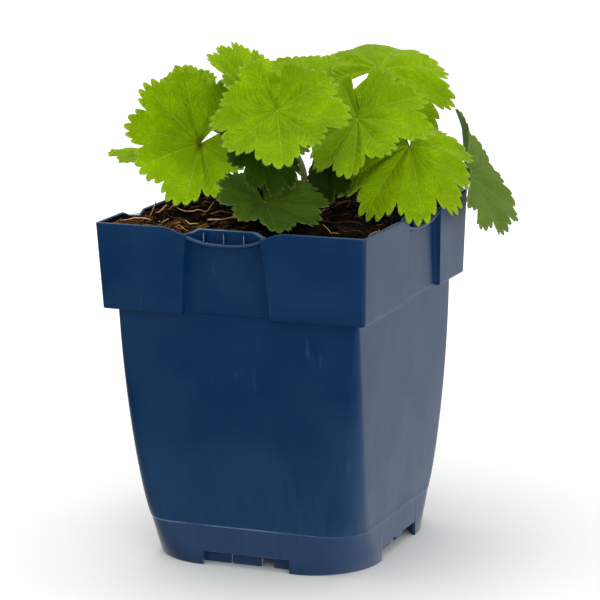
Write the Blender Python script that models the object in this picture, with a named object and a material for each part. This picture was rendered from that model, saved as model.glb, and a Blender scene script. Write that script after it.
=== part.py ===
"""A potted lady's mantle: a clump of lobed, toothed leaves standing in compost in a square plastic pot.

Metres, +Z up. The origin is the centre of the pot's base, on the floor. The face of the pot that
carries most of the light in the photo looks along -Y.
"""

from math import atan2, cos, hypot, pi, radians, sin

import bmesh
import bpy
import numpy as np
from mathutils import Vector

MM = 0.001
CLEAR = 0.3

# Pot, millimetres
POT_TOP = 133.8
COLLAR_FOOT = 100.4
MOULD_LINE = 16.0
FLOOR_UNDER = 6.0
FLOOR_THICK = 1.6
WALL = 1.4
HALF_TOP = 55.0
HALF_COLLAR_FOOT = 53.6
HALF_BODY_TOP = 49.4
HALF_MOULD_LINE = 45.5
HALF_BASE = 45.2
SIDE_BOW = 0.96
RADIUS_TOP = 1.6
RADIUS_BODY_TOP = 1.8
RADIUS_MOULD_LINE = 15.7
RADIUS_BASE = 26.0
RADIUS_POWER = 0.57
MOULD_STEP = 0.3
ARC_STEPS = 5

# Recessed panel in each side of the collar, alike on opposite sides:
# middle along the side, half width at the top and the foot, depth at the top and the foot
PANELS = (
    (-2.2, 15.2, 18.2, 3.8, 3.3),
    (6.9, 17.1, 18.9, 2.8, 1.9),
)
PANEL_DRAFT = 0.8
RIM_DIP = 2.4
RIM_EASE = 9.0
WALL_DIP = 0.7
WALL_RISE = 4.0
COLUMN_LIMIT = 0.96

# Label lip along the top of each panel
LIP_SAG = 3.0
LIP_POWER = 2.6
LIP_DEPTH = 1.3
LIP_STEPS = 8
RIB_SPACING = 8.2
RIB_WIDTH = 0.8

# Foot of the pot
NOTCH_HALF = 18.0
NOTCH_HEIGHT = 5.5
PLATE_THICK = 1.3
PLATE_SET_BACK = 3.6
PLATE_FOOT = 0.1
PLATES = ((-21.0, -8.2), (-7.4, 4.5), (9.6, 16.9))
BOSS_RADIUS = 8.0
DRAIN_RADIUS = 4.5
DRAIN_PLACE = 23.0

# Compost
SOIL_EDGE = 129.6
SOIL_MOUND = 6.0
SOIL_CORNER = 8.0
SOIL_RINGS = ((0.87, 56), (0.72, 56), (0.54, 28), (0.36, 28), (0.18, 28))
SOIL_SPREAD = 4.3
STEM_SUNK = 9.0
HOLE_SIDES = 6

# Rootstock in the middle
CROWN_X = 6.0
CROWN_Y = 10.0
CROWN_RADIUS = 4.6
CROWN_SUNK = 8.0
CROWN_HEIGHT = 4.5
CROWN_SIDES = 12

# Leaves
BLADE_THICK = 0.7
SINUS_HALF = radians(11)
LOBE_TURN = radians(9)
LOBE_VARY = 0.11
NOTCH_DEPTH = 0.17
TEETH = 4
TOOTH = 0.05
PLEAT = 0.03
RIM_DROOP = 0.03
STEM_FOOT_RADIUS = 1.15
STEM_TIP_RADIUS = 0.7
STEM_SIDES = 6
STEM_STEPS = 6

# name, base, heading, pitch, roll, radius, cup, arch, spread, wave, lobes, seed, ring, swing, bow
LEAVES = (
    ("leaf_left_big", (-33.2, -6.1, 157.2), -136, -26, -56, 30.7,
     0.46, 0.2, -0.25, 0.03, 9, 627, 10.8, 40, 0.01),
    ("leaf_centre_top", (8.6, -26.3, 174.7), -63, -45, 7, 29,
     0.22, -0.12, 0.11, 0.03, 9, 123, 8.9, 4, 0.14),
    ("leaf_middle_right", (31.3, -1.6, 168.9), -79, -42, 20, 29.7,
     0.1, -0.11, 0.48, 0.03, 9, 129, 9, -30, -0.01),
    ("leaf_right_big", (51.2, 0.5, 159.1), -65, -36, -3, 30,
     -0.05, 0.34, 0.4, 0.02, 9, 1343, 13.6, -16, 0.18),
    ("leaf_centre_shaded", (1.7, -26.9, 162.5), -33, -54, -16, 23.7,
     0.04, 0.12, 0.19, 0.03, 9, 1114, 15, -29, 0.12),
    ("leaf_front_low", (4.2, -30.4, 140.4), -49, -21, -7, 26,
     0.22, 0.11, 0, 0.03, 9, 390, 15, 1, 0.27),
    ("leaf_right_hanging", (52.5, 59.3, 139.2), 80, -47, 62, 31.2,
     0.37, -0.04, 0.32, 0.03, 9, 801, 15, -40, 0.45),
    ("leaf_top_right", (15.6, 59.7, 179.3), 52, 16, 32, 32.1,
     -0.1, 0.28, 0.41, 0.03, 9, 1375, 9.7, -16, -0.03),
    ("leaf_top_left", (-19.2, 6.6, 176.0), 198, 57, -18, 22,
     0.31, 0.3, -0.03, 0.03, 9, 354, 8.4, 7, 0.05),
    ("leaf_far_left", (-41.8, 0.4, 174.7), 116, 45, -9, 15.1,
     0.15, 0.17, 0.18, 0.03, 7, 41, 11.2, -25, 0.26),
    ("leaf_top_middle", (-6.8, 30.4, 176.7), 99, 37, -9, 20.1,
     0.15, 0.28, -0.05, 0.03, 7, 52, 8.9, -27, 0.07),
    ("leaf_left_tip", (-60.8, 2.1, 150.6), -139, -1, -1, 16.6,
     0.15, 0.05, 0.16, 0.03, 7, 344, 12.5, 25, 0.2),
    ("leaf_front_gap", (21.9, -6.6, 152.7), -102, -60, 20, 17.1,
     0.15, 0.27, 0.23, 0.03, 7, 74, 14.8, -6, 0.31),
    ("leaf_back_left", (-23.0, 42.1, 162.8), 128, -15, -2, 26,
     0.15, 0.2, 0.29, 0.03, 7, 85, 8.2, -7, 0.08),
    ("leaf_back_middle", (20.9, 25.6, 168.4), -73, -57, 6, 14.4,
     0.15, 0.15, 0.17, 0.03, 7, 96, 14.6, 21, 0.21),
    ("leaf_right_low", (54.8, 30.9, 146.1), 11, -41, 2, 11,
     0.15, 0.17, 0.11, 0.03, 7, 107, 13.8, -3, -0.1),
    ("leaf_left_low", (-55.4, 24.1, 144.6), 200, -30, 4, 16.5,
     0.15, 0.09, 0.08, 0.03, 7, 118, 15, 25, 0.26),
    ("leaf_back_right", (30.4, 51.4, 135.7), 68, -11, -3, 22.4,
     0.15, 0.01, 0.02, 0.03, 7, 129, 14.7, -20, 0.28),
    ("leaf_back_low", (-30.8, 60.9, 148.7), 131, -34, 0, 21.8,
     0.15, 0.08, 0.35, 0.03, 7, 140, 14.6, 33, 0.06),
    ("leaf_young_left", (-7.0, 15.1, 152.3), 146, 44, 1, 9,
     0.9, 0.16, -0.25, 0.02, 5, 151, 7.8, -4, 0.22),
    ("leaf_young_right", (18.1, 13.4, 154.2), 48, 26, 2, 7.1,
     0.9, -0.12, -0.21, 0.02, 5, 162, 9.1, -14, -0.04),
)


COLOURS = {
    "pot_plastic": ((0.006, 0.030, 0.085), 0.34),
    "compost": ((0.012, 0.008, 0.006), 0.95),
    "crown_wood": ((0.105, 0.075, 0.030), 0.80),
    "leaf_green": ((0.150, 0.300, 0.006), 0.52),
}


def clear_scene():
    """Start from an empty scene."""
    for thing in list(bpy.data.objects):
        bpy.data.objects.remove(thing, do_unlink=True)


def material(slot, name):
    """A plain Principled material in the colour measured for its slot."""
    colour, roughness = COLOURS[slot]
    made = bpy.data.materials.new(name)
    made.use_nodes = True
    shader = made.node_tree.nodes["Principled BSDF"]
    shader.inputs["Base Color"].default_value = (*colour, 1.0)
    shader.inputs["Roughness"].default_value = roughness
    shader.inputs["Metallic"].default_value = 0.0
    return made


def solid(name, points, faces, smooth=False):
    """One mesh object from points in millimetres, with its faces turned outwards."""
    mesh = bpy.data.meshes.new(name)
    mesh.from_pydata([tuple(float(c) * MM for c in p) for p in points], [], faces)
    work = bmesh.new()
    work.from_mesh(mesh)
    bmesh.ops.recalc_face_normals(work, faces=work.faces)
    work.to_mesh(mesh)
    work.free()
    if smooth:
        mesh.polygons.foreach_set("use_smooth", [True] * len(mesh.polygons))
    thing = bpy.data.objects.new(name, mesh)
    bpy.context.scene.collection.objects.link(thing)
    return thing


def combine(body, others, operation, solver="EXACT"):
    """Join or cut a body with a collection of others in one step, then remove the others."""
    group = bpy.data.collections.new(body.name + "_" + operation.lower())
    bpy.context.scene.collection.children.link(group)
    for other in others:
        bpy.context.scene.collection.objects.unlink(other)
        group.objects.link(other)
        other.hide_render = True
        other.display_type = "WIRE"
    step = body.modifiers.new(operation.lower(), "BOOLEAN")
    step.operation = operation
    step.operand_type = "COLLECTION"
    step.collection = group
    step.solver = solver
    bpy.context.view_layer.update()
    graph = bpy.context.evaluated_depsgraph_get()
    result = bpy.data.meshes.new_from_object(body.evaluated_get(graph), depsgraph=graph)
    body.modifiers.clear()
    old = body.data
    body.data = result
    bpy.data.meshes.remove(old)
    for other in others:
        bpy.data.objects.remove(other, do_unlink=True)
    bpy.data.collections.remove(group)
    return body


def finish(thing, slot):
    """Weld stray doubles, face everything outwards and give the piece its material."""
    work = bmesh.new()
    work.from_mesh(thing.data)
    bmesh.ops.remove_doubles(work, verts=work.verts, dist=0.00001)
    bmesh.ops.dissolve_degenerate(work, edges=work.edges, dist=0.00001)
    bmesh.ops.triangulate(work, faces=work.faces)
    bmesh.ops.recalc_face_normals(work, faces=work.faces)
    work.to_mesh(thing.data)
    work.free()
    thing.data.materials.clear()
    thing.data.materials.append(material(slot, slot + "_" + thing.name))
    return thing


def cyclic_strip(first, second, count):
    """Quads between two rings that hold the same number of points."""
    return [(first + i, first + (i + 1) % count, second + (i + 1) % count, second + i) for i in range(count)]


def body_shape(z):
    """Half width and corner radius of the pot's outside at a height below the collar."""
    if z < MOULD_LINE:
        part = z / MOULD_LINE
        return (HALF_BASE + (HALF_MOULD_LINE - HALF_BASE) * part,
                RADIUS_BASE + (RADIUS_MOULD_LINE - RADIUS_BASE) * part)
    part = (z - MOULD_LINE) / (COLLAR_FOOT - MOULD_LINE)
    half = HALF_MOULD_LINE + (HALF_BODY_TOP - HALF_MOULD_LINE) * part + SIDE_BOW * 4.0 * part * (1.0 - part)
    radius = RADIUS_MOULD_LINE + (RADIUS_BODY_TOP - RADIUS_MOULD_LINE) * part ** RADIUS_POWER
    return half, radius


def square_ring(z, half, radius, inward, panels, rim=0.0):
    """One round of points of a square with rounded corners and a recessed panel on every side."""
    ring = []
    reach = half - inward
    radius = max(radius - inward, 0.35)
    straight = reach - radius
    for side in range(4):
        turn = side * pi / 2
        along = Vector((cos(turn), sin(turn)))
        out = Vector((sin(turn), -cos(turn)))
        middle, wide, depth = panels[side % 2]
        fit = min(1.0, COLUMN_LIMIT * straight / (abs(middle) + wide + RIM_EASE))
        inner = wide - PANEL_DRAFT
        half_side = ((wide + RIM_EASE, 0.0, 0.0), (wide, 0.0, RIM_DIP), (inner, depth, RIM_DIP),
                     (inner - WALL_RISE, depth, WALL_DIP))
        places = [(-straight, 0.0, 0.0)]
        places.extend(((middle - s) * fit, back, drop) for s, back, drop in half_side)
        places.extend(((middle + s) * fit, back, drop) for s, back, drop in reversed(half_side))
        places.append((straight, 0.0, 0.0))
        for s, back, drop in places:
            p = along * s + out * (reach - back)
            ring.append((p.x, p.y, z - drop * rim))
        for step in range(1, ARC_STEPS):
            angle = turn - pi / 2 + step * (pi / 2) / ARC_STEPS
            centre = along * straight + out * straight
            ring.append((centre.x + radius * cos(angle), centre.y + radius * sin(angle), z))
    return ring


def panels_at(part, wider=0.0, sunk=1.0):
    """Middle, half width and depth of both kinds of panel, from the collar's foot at 0 to its top at 1."""
    return [(middle, foot + (top - foot) * part + wider, sunk * (deep_foot + (deep_top - deep_foot) * part))
            for middle, top, foot, deep_top, deep_foot in PANELS]


def body_ring(z, inward, step=0.0):
    """A ring of the plain wall below the collar."""
    half, radius = body_shape(z)
    return square_ring(z, half - step, radius, inward, panels_at(0.0, sunk=0.0))


def collar_ring(z, inward, rim=0.0):
    """A ring of the collar, whose corner pieces stand proud of its panels."""
    part = (z - COLLAR_FOOT) / (POT_TOP - COLLAR_FOOT)
    half = HALF_COLLAR_FOOT + (HALF_TOP - HALF_COLLAR_FOOT) * part
    return square_ring(z, half, RADIUS_TOP, inward, panels_at(part, wider=inward), rim)


def loft(name, rings, low_point, high_point):
    """A closed body through rings of equal count, drawn to a point at either end."""
    count = len(rings[0])
    points = [low_point]
    faces = []
    for ring in rings:
        points.extend(ring)
    for i in range(count):
        faces.append((0, 1 + (i + 1) % count, 1 + i))
    for k in range(len(rings) - 1):
        faces.extend(cyclic_strip(1 + k * count, 1 + (k + 1) * count, count))
    last = 1 + (len(rings) - 1) * count
    points.append(high_point)
    for i in range(count):
        faces.append((last + i, last + (i + 1) % count, len(points) - 1))
    return solid(name, points, faces)


def side_point(side, s, w, z):
    """A point s along a side, w out from the middle of the pot."""
    turn = side * pi / 2
    return (cos(turn) * s + sin(turn) * w, sin(turn) * s - cos(turn) * w, z)


def side_block(name, side, s0, s1, w0, w1, z0, z1):
    """A plain block standing square to one side of the pot."""
    points = [side_point(side, s, w, z) for z in (z0, z1) for s, w in ((s0, w0), (s1, w0), (s1, w1), (s0, w1))]
    faces = [(0, 3, 2, 1), (4, 5, 6, 7), (0, 1, 5, 4), (1, 2, 6, 5), (2, 3, 7, 6), (3, 0, 4, 7)]
    return solid(name, points, faces)


def drum(name, x, y, radius, z0, z1, sides):
    """An upright drum."""
    points = []
    for z in (z0, z1):
        for i in range(sides):
            angle = 2 * pi * (i + 0.5) / sides
            points.append((x + radius * cos(angle), y + radius * sin(angle), z))
    faces = [tuple(range(sides - 1, -1, -1)), tuple(range(sides, 2 * sides))]
    faces.extend(cyclic_strip(0, sides, sides))
    return solid(name, points, faces)


def label_lip(side):
    """The sagging shelf that closes the top of one panel, out to the face of the collar."""
    points = []
    middle, half, _, depth, _ = PANELS[side % 2]
    half += 1.0
    back = HALF_TOP - depth - 0.9
    for i in range(LIP_STEPS + 1):
        s = -half + 2 * half * i / LIP_STEPS
        top = POT_TOP - RIM_DIP - LIP_SAG * (1.0 - abs(s / half) ** LIP_POWER)
        for w, z in ((back, top - LIP_DEPTH - 1.0), (HALF_TOP - 0.5, top - LIP_DEPTH),
                     (HALF_TOP - 0.25, top - 0.1), (back, top - 0.3)):
            points.append(side_point(side, middle + s, w, z))
    faces = [(3, 2, 1, 0), tuple(LIP_STEPS * 4 + k for k in (0, 1, 2, 3))]
    for i in range(LIP_STEPS):
        faces.extend(cyclic_strip(i * 4, (i + 1) * 4, 4))
    return solid("lip", points, faces)


def label_ribs(side):
    """The three thin webs between one label lip and the wall behind it."""
    middle, _, _, depth, _ = PANELS[side % 2]
    low = POT_TOP - RIM_DIP - LIP_SAG - 1.0
    high = POT_TOP - WALL_DIP - 1.0
    ribs = []
    for k in (-1, 0, 1):
        s = middle + k * RIB_SPACING
        ribs.append(side_block("rib", side, s - RIB_WIDTH / 2, s + RIB_WIDTH / 2, HALF_TOP - depth - 0.8,
                               HALF_TOP - 1.4, low, high))
    return ribs


def make_pot():
    """The square pot with its collar, panels, label lips, notched foot and drained floor."""
    levels = (32.0, 50.0, 68.0, 86.0)
    floor_top = FLOOR_UNDER + FLOOR_THICK
    rings = [body_ring(FLOOR_UNDER, WALL), body_ring(0.0, WALL), body_ring(0.0, 0.0)]
    rings.append(body_ring(MOULD_LINE, 0.0, -MOULD_STEP / 2))
    rings.append(body_ring(MOULD_LINE + 0.3, 0.0, MOULD_STEP / 2))
    rings.extend(body_ring(z, 0.0) for z in levels)
    rings.append(body_ring(COLLAR_FOOT, 0.0))
    rings.append(collar_ring(COLLAR_FOOT + 0.35, 0.0))
    rings.append(collar_ring(POT_TOP, 0.0, 1.0))
    rings.append(collar_ring(POT_TOP, WALL, 1.0))
    rings.append(collar_ring(COLLAR_FOOT + 0.35 + WALL, WALL))
    rings.append(body_ring(COLLAR_FOOT, WALL))
    rings.extend(body_ring(z, WALL) for z in reversed(levels))
    rings.append(body_ring(MOULD_LINE + 0.3, WALL))
    rings.append(body_ring(floor_top, WALL))
    pot = loft("pot", rings, (0.0, 0.0, FLOOR_UNDER), (0.0, 0.0, floor_top))

    added = [drum("boss", 0.0, 0.0, BOSS_RADIUS, 0.0, FLOOR_UNDER + 0.8, 16)]
    removed = []
    for side in range(4):
        added.append(label_lip(side))
        added.extend(label_ribs(side))
        for s0, s1 in PLATES:
            back = HALF_BASE - WALL - PLATE_SET_BACK
            added.append(side_block("plate", side, s0, s1, back - PLATE_THICK, back, PLATE_FOOT,
                                    FLOOR_UNDER + 0.8))
        removed.append(side_block("notch", side, -NOTCH_HALF, NOTCH_HALF, HALF_BASE - WALL - 1.2,
                                  HALF_BASE + 3.0, -1.0, NOTCH_HEIGHT))
    for x in (-DRAIN_PLACE, DRAIN_PLACE):
        for y in (-DRAIN_PLACE, DRAIN_PLACE):
            removed.append(drum("drain", x, y, DRAIN_RADIUS, FLOOR_UNDER - 1.0, floor_top + 1.0, 10))
    combine(pot, added, "UNION")
    combine(pot, removed, "DIFFERENCE")
    return finish(pot, "pot_plastic")


def soil_height(x, y):
    """Height of the compost: mounded in the middle, uneven all over."""
    far = max(abs(x), abs(y)) / 53.0
    mound = SOIL_EDGE + SOIL_MOUND * max(0.0, 1.0 - far * far)
    broad = 0.9 * sin(0.11 * x + 1.3) * cos(0.13 * y + 0.4)
    fine = 0.55 * sin(0.43 * x - 0.29 * y) + 0.4 * sin(0.71 * y + 0.37 * x + 2.0)
    return mound + broad + fine


def make_soil(leaves):
    """The root ball: follows the inside of the pot and has a plain hole for every stem."""
    gap = WALL + CLEAR
    floor_top = FLOOR_UNDER + FLOOR_THICK + CLEAR
    rings = [body_ring(z, gap) for z in (floor_top, MOULD_LINE, 58.0, COLLAR_FOOT + 0.1)]
    rings.append(collar_ring(COLLAR_FOOT + 0.35 + gap + 0.3, gap))
    edge = [(x, y, soil_height(x, y)) for x, y, _ in collar_ring(SOIL_EDGE, gap)]
    plain = square_ring(SOIL_EDGE, HALF_COLLAR_FOOT, SOIL_CORNER, 0.0, panels_at(1.0, wider=SOIL_SPREAD, sunk=0.0))
    rings.append(edge)
    count = len(edge)
    points = [(0.0, 0.0, floor_top)]
    for ring in rings:
        points.extend(ring)
    faces = [(0, 1 + (i + 1) % count, 1 + i) for i in range(count)]
    for k in range(len(rings) - 1):
        faces.extend(cyclic_strip(1 + k * count, 1 + (k + 1) * count, count))
    before = 1 + (len(rings) - 1) * count
    before_count = count
    for share, number in SOIL_RINGS:
        start = len(points)
        turned = 1.0 - share / SOIL_RINGS[0][0]
        for i in range(number):
            square = Vector(plain[i * count // number][:2])
            angle = -0.75 * pi + 2 * pi * i / number
            rounded = Vector((cos(angle), sin(angle))) * HALF_TOP
            p = (square * (1.0 - turned) + rounded * turned) * share
            points.append((p.x, p.y, soil_height(p.x, p.y)))
        if number == before_count:
            faces.extend(cyclic_strip(before, start, number))
        else:
            for i in range(number):
                a = start + i
                b = start + (i + 1) % number
                c = before + (2 * i) % before_count
                d = before + (2 * i + 1) % before_count
                e = before + (2 * i + 2) % before_count
                faces.extend(((a, c, d), (a, d, b), (b, d, e)))
        before = start
        before_count = number
    points.append((0.0, 0.0, soil_height(0.0, 0.0)))
    for i in range(before_count):
        faces.append((before + i, before + (i + 1) % before_count, len(points) - 1))
    soil = solid("soil", points, faces)

    holes = [drum("crown_hole", CROWN_X, CROWN_Y, CROWN_RADIUS + 1.0, crown_floor() - CLEAR, POT_TOP + 12.0,
                  CROWN_SIDES)]
    for leaf in leaves:
        foot = leaf.foot()
        holes.append(drum("stem_hole", foot[0], foot[1], STEM_FOOT_RADIUS + CLEAR + 0.15, foot[2] - CLEAR,
                          POT_TOP + 12.0, HOLE_SIDES))
    combine(soil, holes, "DIFFERENCE")
    return finish(soil, "compost")


def crown_floor():
    """Height of the rootstock's sunk end."""
    return soil_height(CROWN_X, CROWN_Y) - CROWN_SUNK


def make_crown():
    """The woody rootstock, knobbly where old leaves have come away."""
    low = crown_floor()
    top = soil_height(CROWN_X, CROWN_Y) + CROWN_HEIGHT
    shape = ((0.0, 0.92), (0.45, 1.0), (0.66, 0.98), (0.80, 0.86), (0.92, 0.62))
    rings = []
    for k, (up, wide) in enumerate(shape):
        ring = []
        for i in range(CROWN_SIDES):
            angle = 2 * pi * i / CROWN_SIDES
            knob = 1.0 + 0.10 * sin(3 * angle + 1.7 * k) * (1.0 if k > 1 else 0.0)
            radius = CROWN_RADIUS * wide * knob
            ring.append((CROWN_X + radius * cos(angle), CROWN_Y + radius * sin(angle), low + (top - low) * up))
        rings.append(ring)
    return finish(loft("crown", rings, (CROWN_X, CROWN_Y, low), (CROWN_X, CROWN_Y, top)), "crown_wood")


def chance(seed, number):
    """A repeatable value between 0 and 1 for each seed and number."""
    value = np.sin(seed * 12.9898 + np.asarray(number, dtype=float) * 78.233) * 43758.5453
    return value - np.floor(value)


class Leaf:
    """One leaf: a pleated, lobed, toothed blade on a slender stem."""

    def __init__(self, row):
        (self.name, self.base, self.heading, self.pitch, self.roll, self.radius, self.cup, self.arch,
         self.spread, self.wave, self.lobes, self.seed, self.ring, self.swing, self.bow) = row
        heading, pitch, roll = radians(self.heading), radians(self.pitch), radians(self.roll)
        self.forward = np.array([cos(pitch) * cos(heading), cos(pitch) * sin(heading), sin(pitch)])
        upright = np.array([-sin(pitch) * cos(heading), -sin(pitch) * sin(heading), cos(pitch)])
        self.normal = upright * cos(roll) + np.cross(self.forward, upright) * sin(roll)
        self.across = np.cross(self.normal, self.forward)
        self.centre = np.array(self.base, dtype=float)
        self.set_lobes()

    def set_lobes(self):
        """Middle angle and length of every lobe, and the angles of the notches between them."""
        number = np.arange(self.lobes)
        limit = pi - SINUS_HALF
        span = 2.0 * limit / self.lobes
        self.middles = (number - self.lobes // 2) * span + LOBE_TURN * (2.0 * chance(self.seed, number) - 1.0)
        self.lengths = 1.0 + LOBE_VARY * (2.0 * chance(self.seed, number + 40) - 1.0)
        between = 0.5 * (self.middles[1:] + self.middles[:-1])
        self.notches = np.concatenate([[-limit], between, [limit]])

    def lobe_at(self, angle):
        """Which lobe an angle falls in, which side of its midrib, and how near the notch."""
        lobe = np.clip(np.searchsorted(self.notches, angle, side="right") - 1, 0, self.lobes - 1)
        left = angle < self.middles[lobe]
        width = np.where(left, self.middles[lobe] - self.notches[lobe], self.notches[lobe + 1] - self.middles[lobe])
        return lobe, left, np.clip(np.abs(angle - self.middles[lobe]) / width, 0.0, 1.0)

    def reach(self, angle):
        """How far the lobed outline reaches at an angle, before its teeth are cut."""
        lobe, left, near = self.lobe_at(angle)
        beside = np.clip(np.where(left, lobe - 1, lobe + 1), 0, self.lobes - 1)
        share = 0.5 * near ** 3
        length = self.lengths[lobe] * (1.0 - share) + self.lengths[beside] * share
        round_form = 0.70 + 0.30 * np.cos(angle * 0.5) ** 2
        return self.radius * round_form * length * (1.0 - NOTCH_DEPTH * near ** 2.6)

    def height(self, x, y):
        """Height of the blade's middle sheet: cupped, arched, waved and pleated along its veins."""
        size = self.radius
        angle = np.clip(np.arctan2(y, x), -(pi - SINUS_HALF), pi - SINUS_HALF)
        out = np.sqrt(x * x + y * y) / size
        _, _, near = self.lobe_at(angle)
        z = self.cup * out - self.arch * (x / size) ** 2 - self.spread * (y / size) ** 2
        z = z + self.wave * out ** 2 * np.cos(3.0 * angle + self.seed % 6)
        z = z - PLEAT * np.sin(0.62 * pi * np.clip(out, 0.0, 1.0) ** 0.8) * np.cos(pi * near)
        return size * (z - RIM_DROOP * out ** 4)

    def half_thickness(self, x, y):
        """Half the blade's thickness measured along its upright, so that it stays even on slopes."""
        step = 0.25
        slope_x = (self.height(x + step, y) - self.height(x - step, y)) / (2.0 * step)
        slope_y = (self.height(x, y + step) - self.height(x, y - step)) / (2.0 * step)
        slope = np.minimum(np.sqrt(1.0 + slope_x ** 2 + slope_y ** 2), 1.7)
        return 0.5 * BLADE_THICK * slope

    def rim(self):
        """Angles round the edge and the tooth height at each of them."""
        angles = [self.notches[0]]
        teeth = [-0.5]
        steps = TEETH * 2
        for lobe in range(self.lobes):
            start, end = self.notches[lobe], self.notches[lobe + 1]
            for i in range(1, steps + 1):
                angles.append(start + (end - start) * i / steps)
                teeth.append(0.5 if i % 2 else -0.5)
        return np.array(angles), np.array(teeth) * TOOTH * self.radius

    def place(self, x, y, z):
        """From the blade's own directions to the pot's."""
        return (self.centre + np.multiply.outer(x, self.forward) + np.multiply.outer(y, self.across)
                + np.multiply.outer(z, self.normal))

    def blade(self):
        """The blade as one closed sheet of even thickness, triangulated alike on both faces."""
        rim, teeth = self.rim()
        middle = rim[::2]
        inner = rim[::4]
        angles = [np.zeros(1), inner, middle, rim]
        far = [np.zeros(1), 0.30 * self.reach(inner), 0.66 * self.reach(middle), self.reach(rim) + teeth]
        x = np.concatenate([r * np.cos(a) for r, a in zip(far, angles)])
        y = np.concatenate([r * np.sin(a) for r, a in zip(far, angles)])
        z = self.height(x, y)
        half = self.half_thickness(x, y)
        count = len(x)
        points = np.concatenate([self.place(x, y, z + half), self.place(x, y, z - half)])
        start = np.cumsum([0] + [len(a) for a in angles])
        top = [(0, start[1] + i, start[1] + i + 1) for i in range(len(inner) - 1)]
        for level in (1, 2):
            a0, b0 = start[level], start[level + 1]
            for i in range(len(angles[level]) - 1):
                top.append((a0 + i, b0 + 2 * i, b0 + 2 * i + 1))
                top.append((a0 + i, b0 + 2 * i + 1, a0 + i + 1))
                top.append((a0 + i + 1, b0 + 2 * i + 1, b0 + 2 * i + 2))
        loop = [0, start[1], start[2]] + list(range(start[3], start[4]))
        loop += [start[3] - 1, start[2] - 1]
        faces = [tuple(int(v) for v in f) for f in top]
        faces += [tuple(int(v) + count for v in reversed(f)) for f in top]
        for i, a in enumerate(loop):
            b = loop[(i + 1) % len(loop)]
            faces.append((int(a), int(a) + count, int(b) + count, int(b)))
        return solid(self.name, points, faces, smooth=False)

    def foot(self):
        """Where the stem's sunk end stands, on a ring round the rootstock below its blade."""
        toward = atan2(self.base[1] - CROWN_Y, self.base[0] - CROWN_X) + radians(self.swing)
        x = CROWN_X + self.ring * cos(toward)
        y = CROWN_Y + self.ring * sin(toward)
        return np.array([x, y, soil_height(x, y) - STEM_SUNK])

    def stem_path(self):
        """Middle line of the stem: straight up out of the compost, then over to the blade."""
        foot = self.foot()
        lift = np.array([0.0, 0.0, STEM_SUNK + 4.0])
        start = foot + lift
        end = self.centre + 0.9 * self.forward + 0.05 * self.normal
        rise = hypot(*(end - start))
        first = start + np.array([0.0, 0.0, 0.35 * rise])
        second = end - self.normal * 0.30 * rise - self.forward * self.bow * rise
        path = [foot]
        for i in range(STEM_STEPS + 1):
            t = i / STEM_STEPS
            path.append((1 - t) ** 3 * start + 3 * t * (1 - t) ** 2 * first + 3 * t * t * (1 - t) * second
                        + t ** 3 * end)
        return np.array(path)

    def stem(self):
        """The stem as a closed tube that thins towards the blade."""
        path = self.stem_path()
        points = []
        last = len(path) - 1
        side = np.array([1.0, 0.0, 0.0])
        for i, p in enumerate(path):
            along = path[min(i + 1, last)] - path[max(i - 1, 0)]
            along = along / np.linalg.norm(along)
            side = side - along * np.dot(side, along)
            side = side / np.linalg.norm(side)
            other = np.cross(along, side)
            radius = STEM_FOOT_RADIUS + (STEM_TIP_RADIUS - STEM_FOOT_RADIUS) * max(0, i - 1) / (last - 1)
            for k in range(STEM_SIDES):
                angle = 2 * pi * k / STEM_SIDES
                points.append(p + radius * (cos(angle) * side + sin(angle) * other))
        faces = [tuple(range(STEM_SIDES - 1, -1, -1)),
                 tuple(range(last * STEM_SIDES, (last + 1) * STEM_SIDES))]
        for i in range(last):
            faces.extend(cyclic_strip(i * STEM_SIDES, (i + 1) * STEM_SIDES, STEM_SIDES))
        return solid("stem", points, faces)

    def make(self):
        """Blade and stem as one grown piece."""
        return finish(combine(self.blade(), [self.stem()], "UNION"), "leaf_green")


def main():
    """Build every piece of the potted plant."""
    clear_scene()
    leaves = [Leaf(row) for row in LEAVES]
    make_pot()
    make_soil(leaves)
    make_crown()
    for leaf in leaves:
        leaf.make()


if __name__ == "__main__":
    main()
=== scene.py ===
"""Looks of a potted lady's mantle: fine leaves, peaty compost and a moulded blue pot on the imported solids.

Sizes of the pieces are millimetres and are written into the meshes in metres. A surface is a function of
two parameters laid out on a grid, or a profile carried along a path, worked out as whole arrays. In the
finishes, heights and depths are metres, patterns are counted to the metre and shares run from 0 to 1.
"""

import logging
from dataclasses import astuple, dataclass, field
from enum import Enum
from functools import reduce
from math import atan2, cos, pi, radians, sin
from typing import Dict, List, Optional, Sequence, Tuple, Union

import bpy
import numpy as np
from mathutils import Matrix


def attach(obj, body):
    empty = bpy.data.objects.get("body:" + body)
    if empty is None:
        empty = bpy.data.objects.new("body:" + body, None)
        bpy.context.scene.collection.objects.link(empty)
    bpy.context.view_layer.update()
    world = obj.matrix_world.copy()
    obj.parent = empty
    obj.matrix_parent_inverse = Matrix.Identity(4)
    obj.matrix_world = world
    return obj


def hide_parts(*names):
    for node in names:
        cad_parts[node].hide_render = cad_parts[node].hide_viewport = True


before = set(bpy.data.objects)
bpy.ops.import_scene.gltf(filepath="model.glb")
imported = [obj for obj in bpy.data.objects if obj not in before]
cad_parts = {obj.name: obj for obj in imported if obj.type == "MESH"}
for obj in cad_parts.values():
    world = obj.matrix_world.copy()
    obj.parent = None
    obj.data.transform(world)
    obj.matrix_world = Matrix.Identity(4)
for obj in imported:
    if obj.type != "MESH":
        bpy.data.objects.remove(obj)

LOG = logging.getLogger("lady_mantle")
MM = 0.001
UP = np.array([0.0, 0.0, 1.0])
LATTICE = np.array([1.0, 57.0, 113.0])
Colour = Tuple[float, float, float]
Number = Union[float, np.ndarray]
Socket = bpy.types.NodeSocket
Feed = Union[Socket, float, Sequence[float]]


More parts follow.
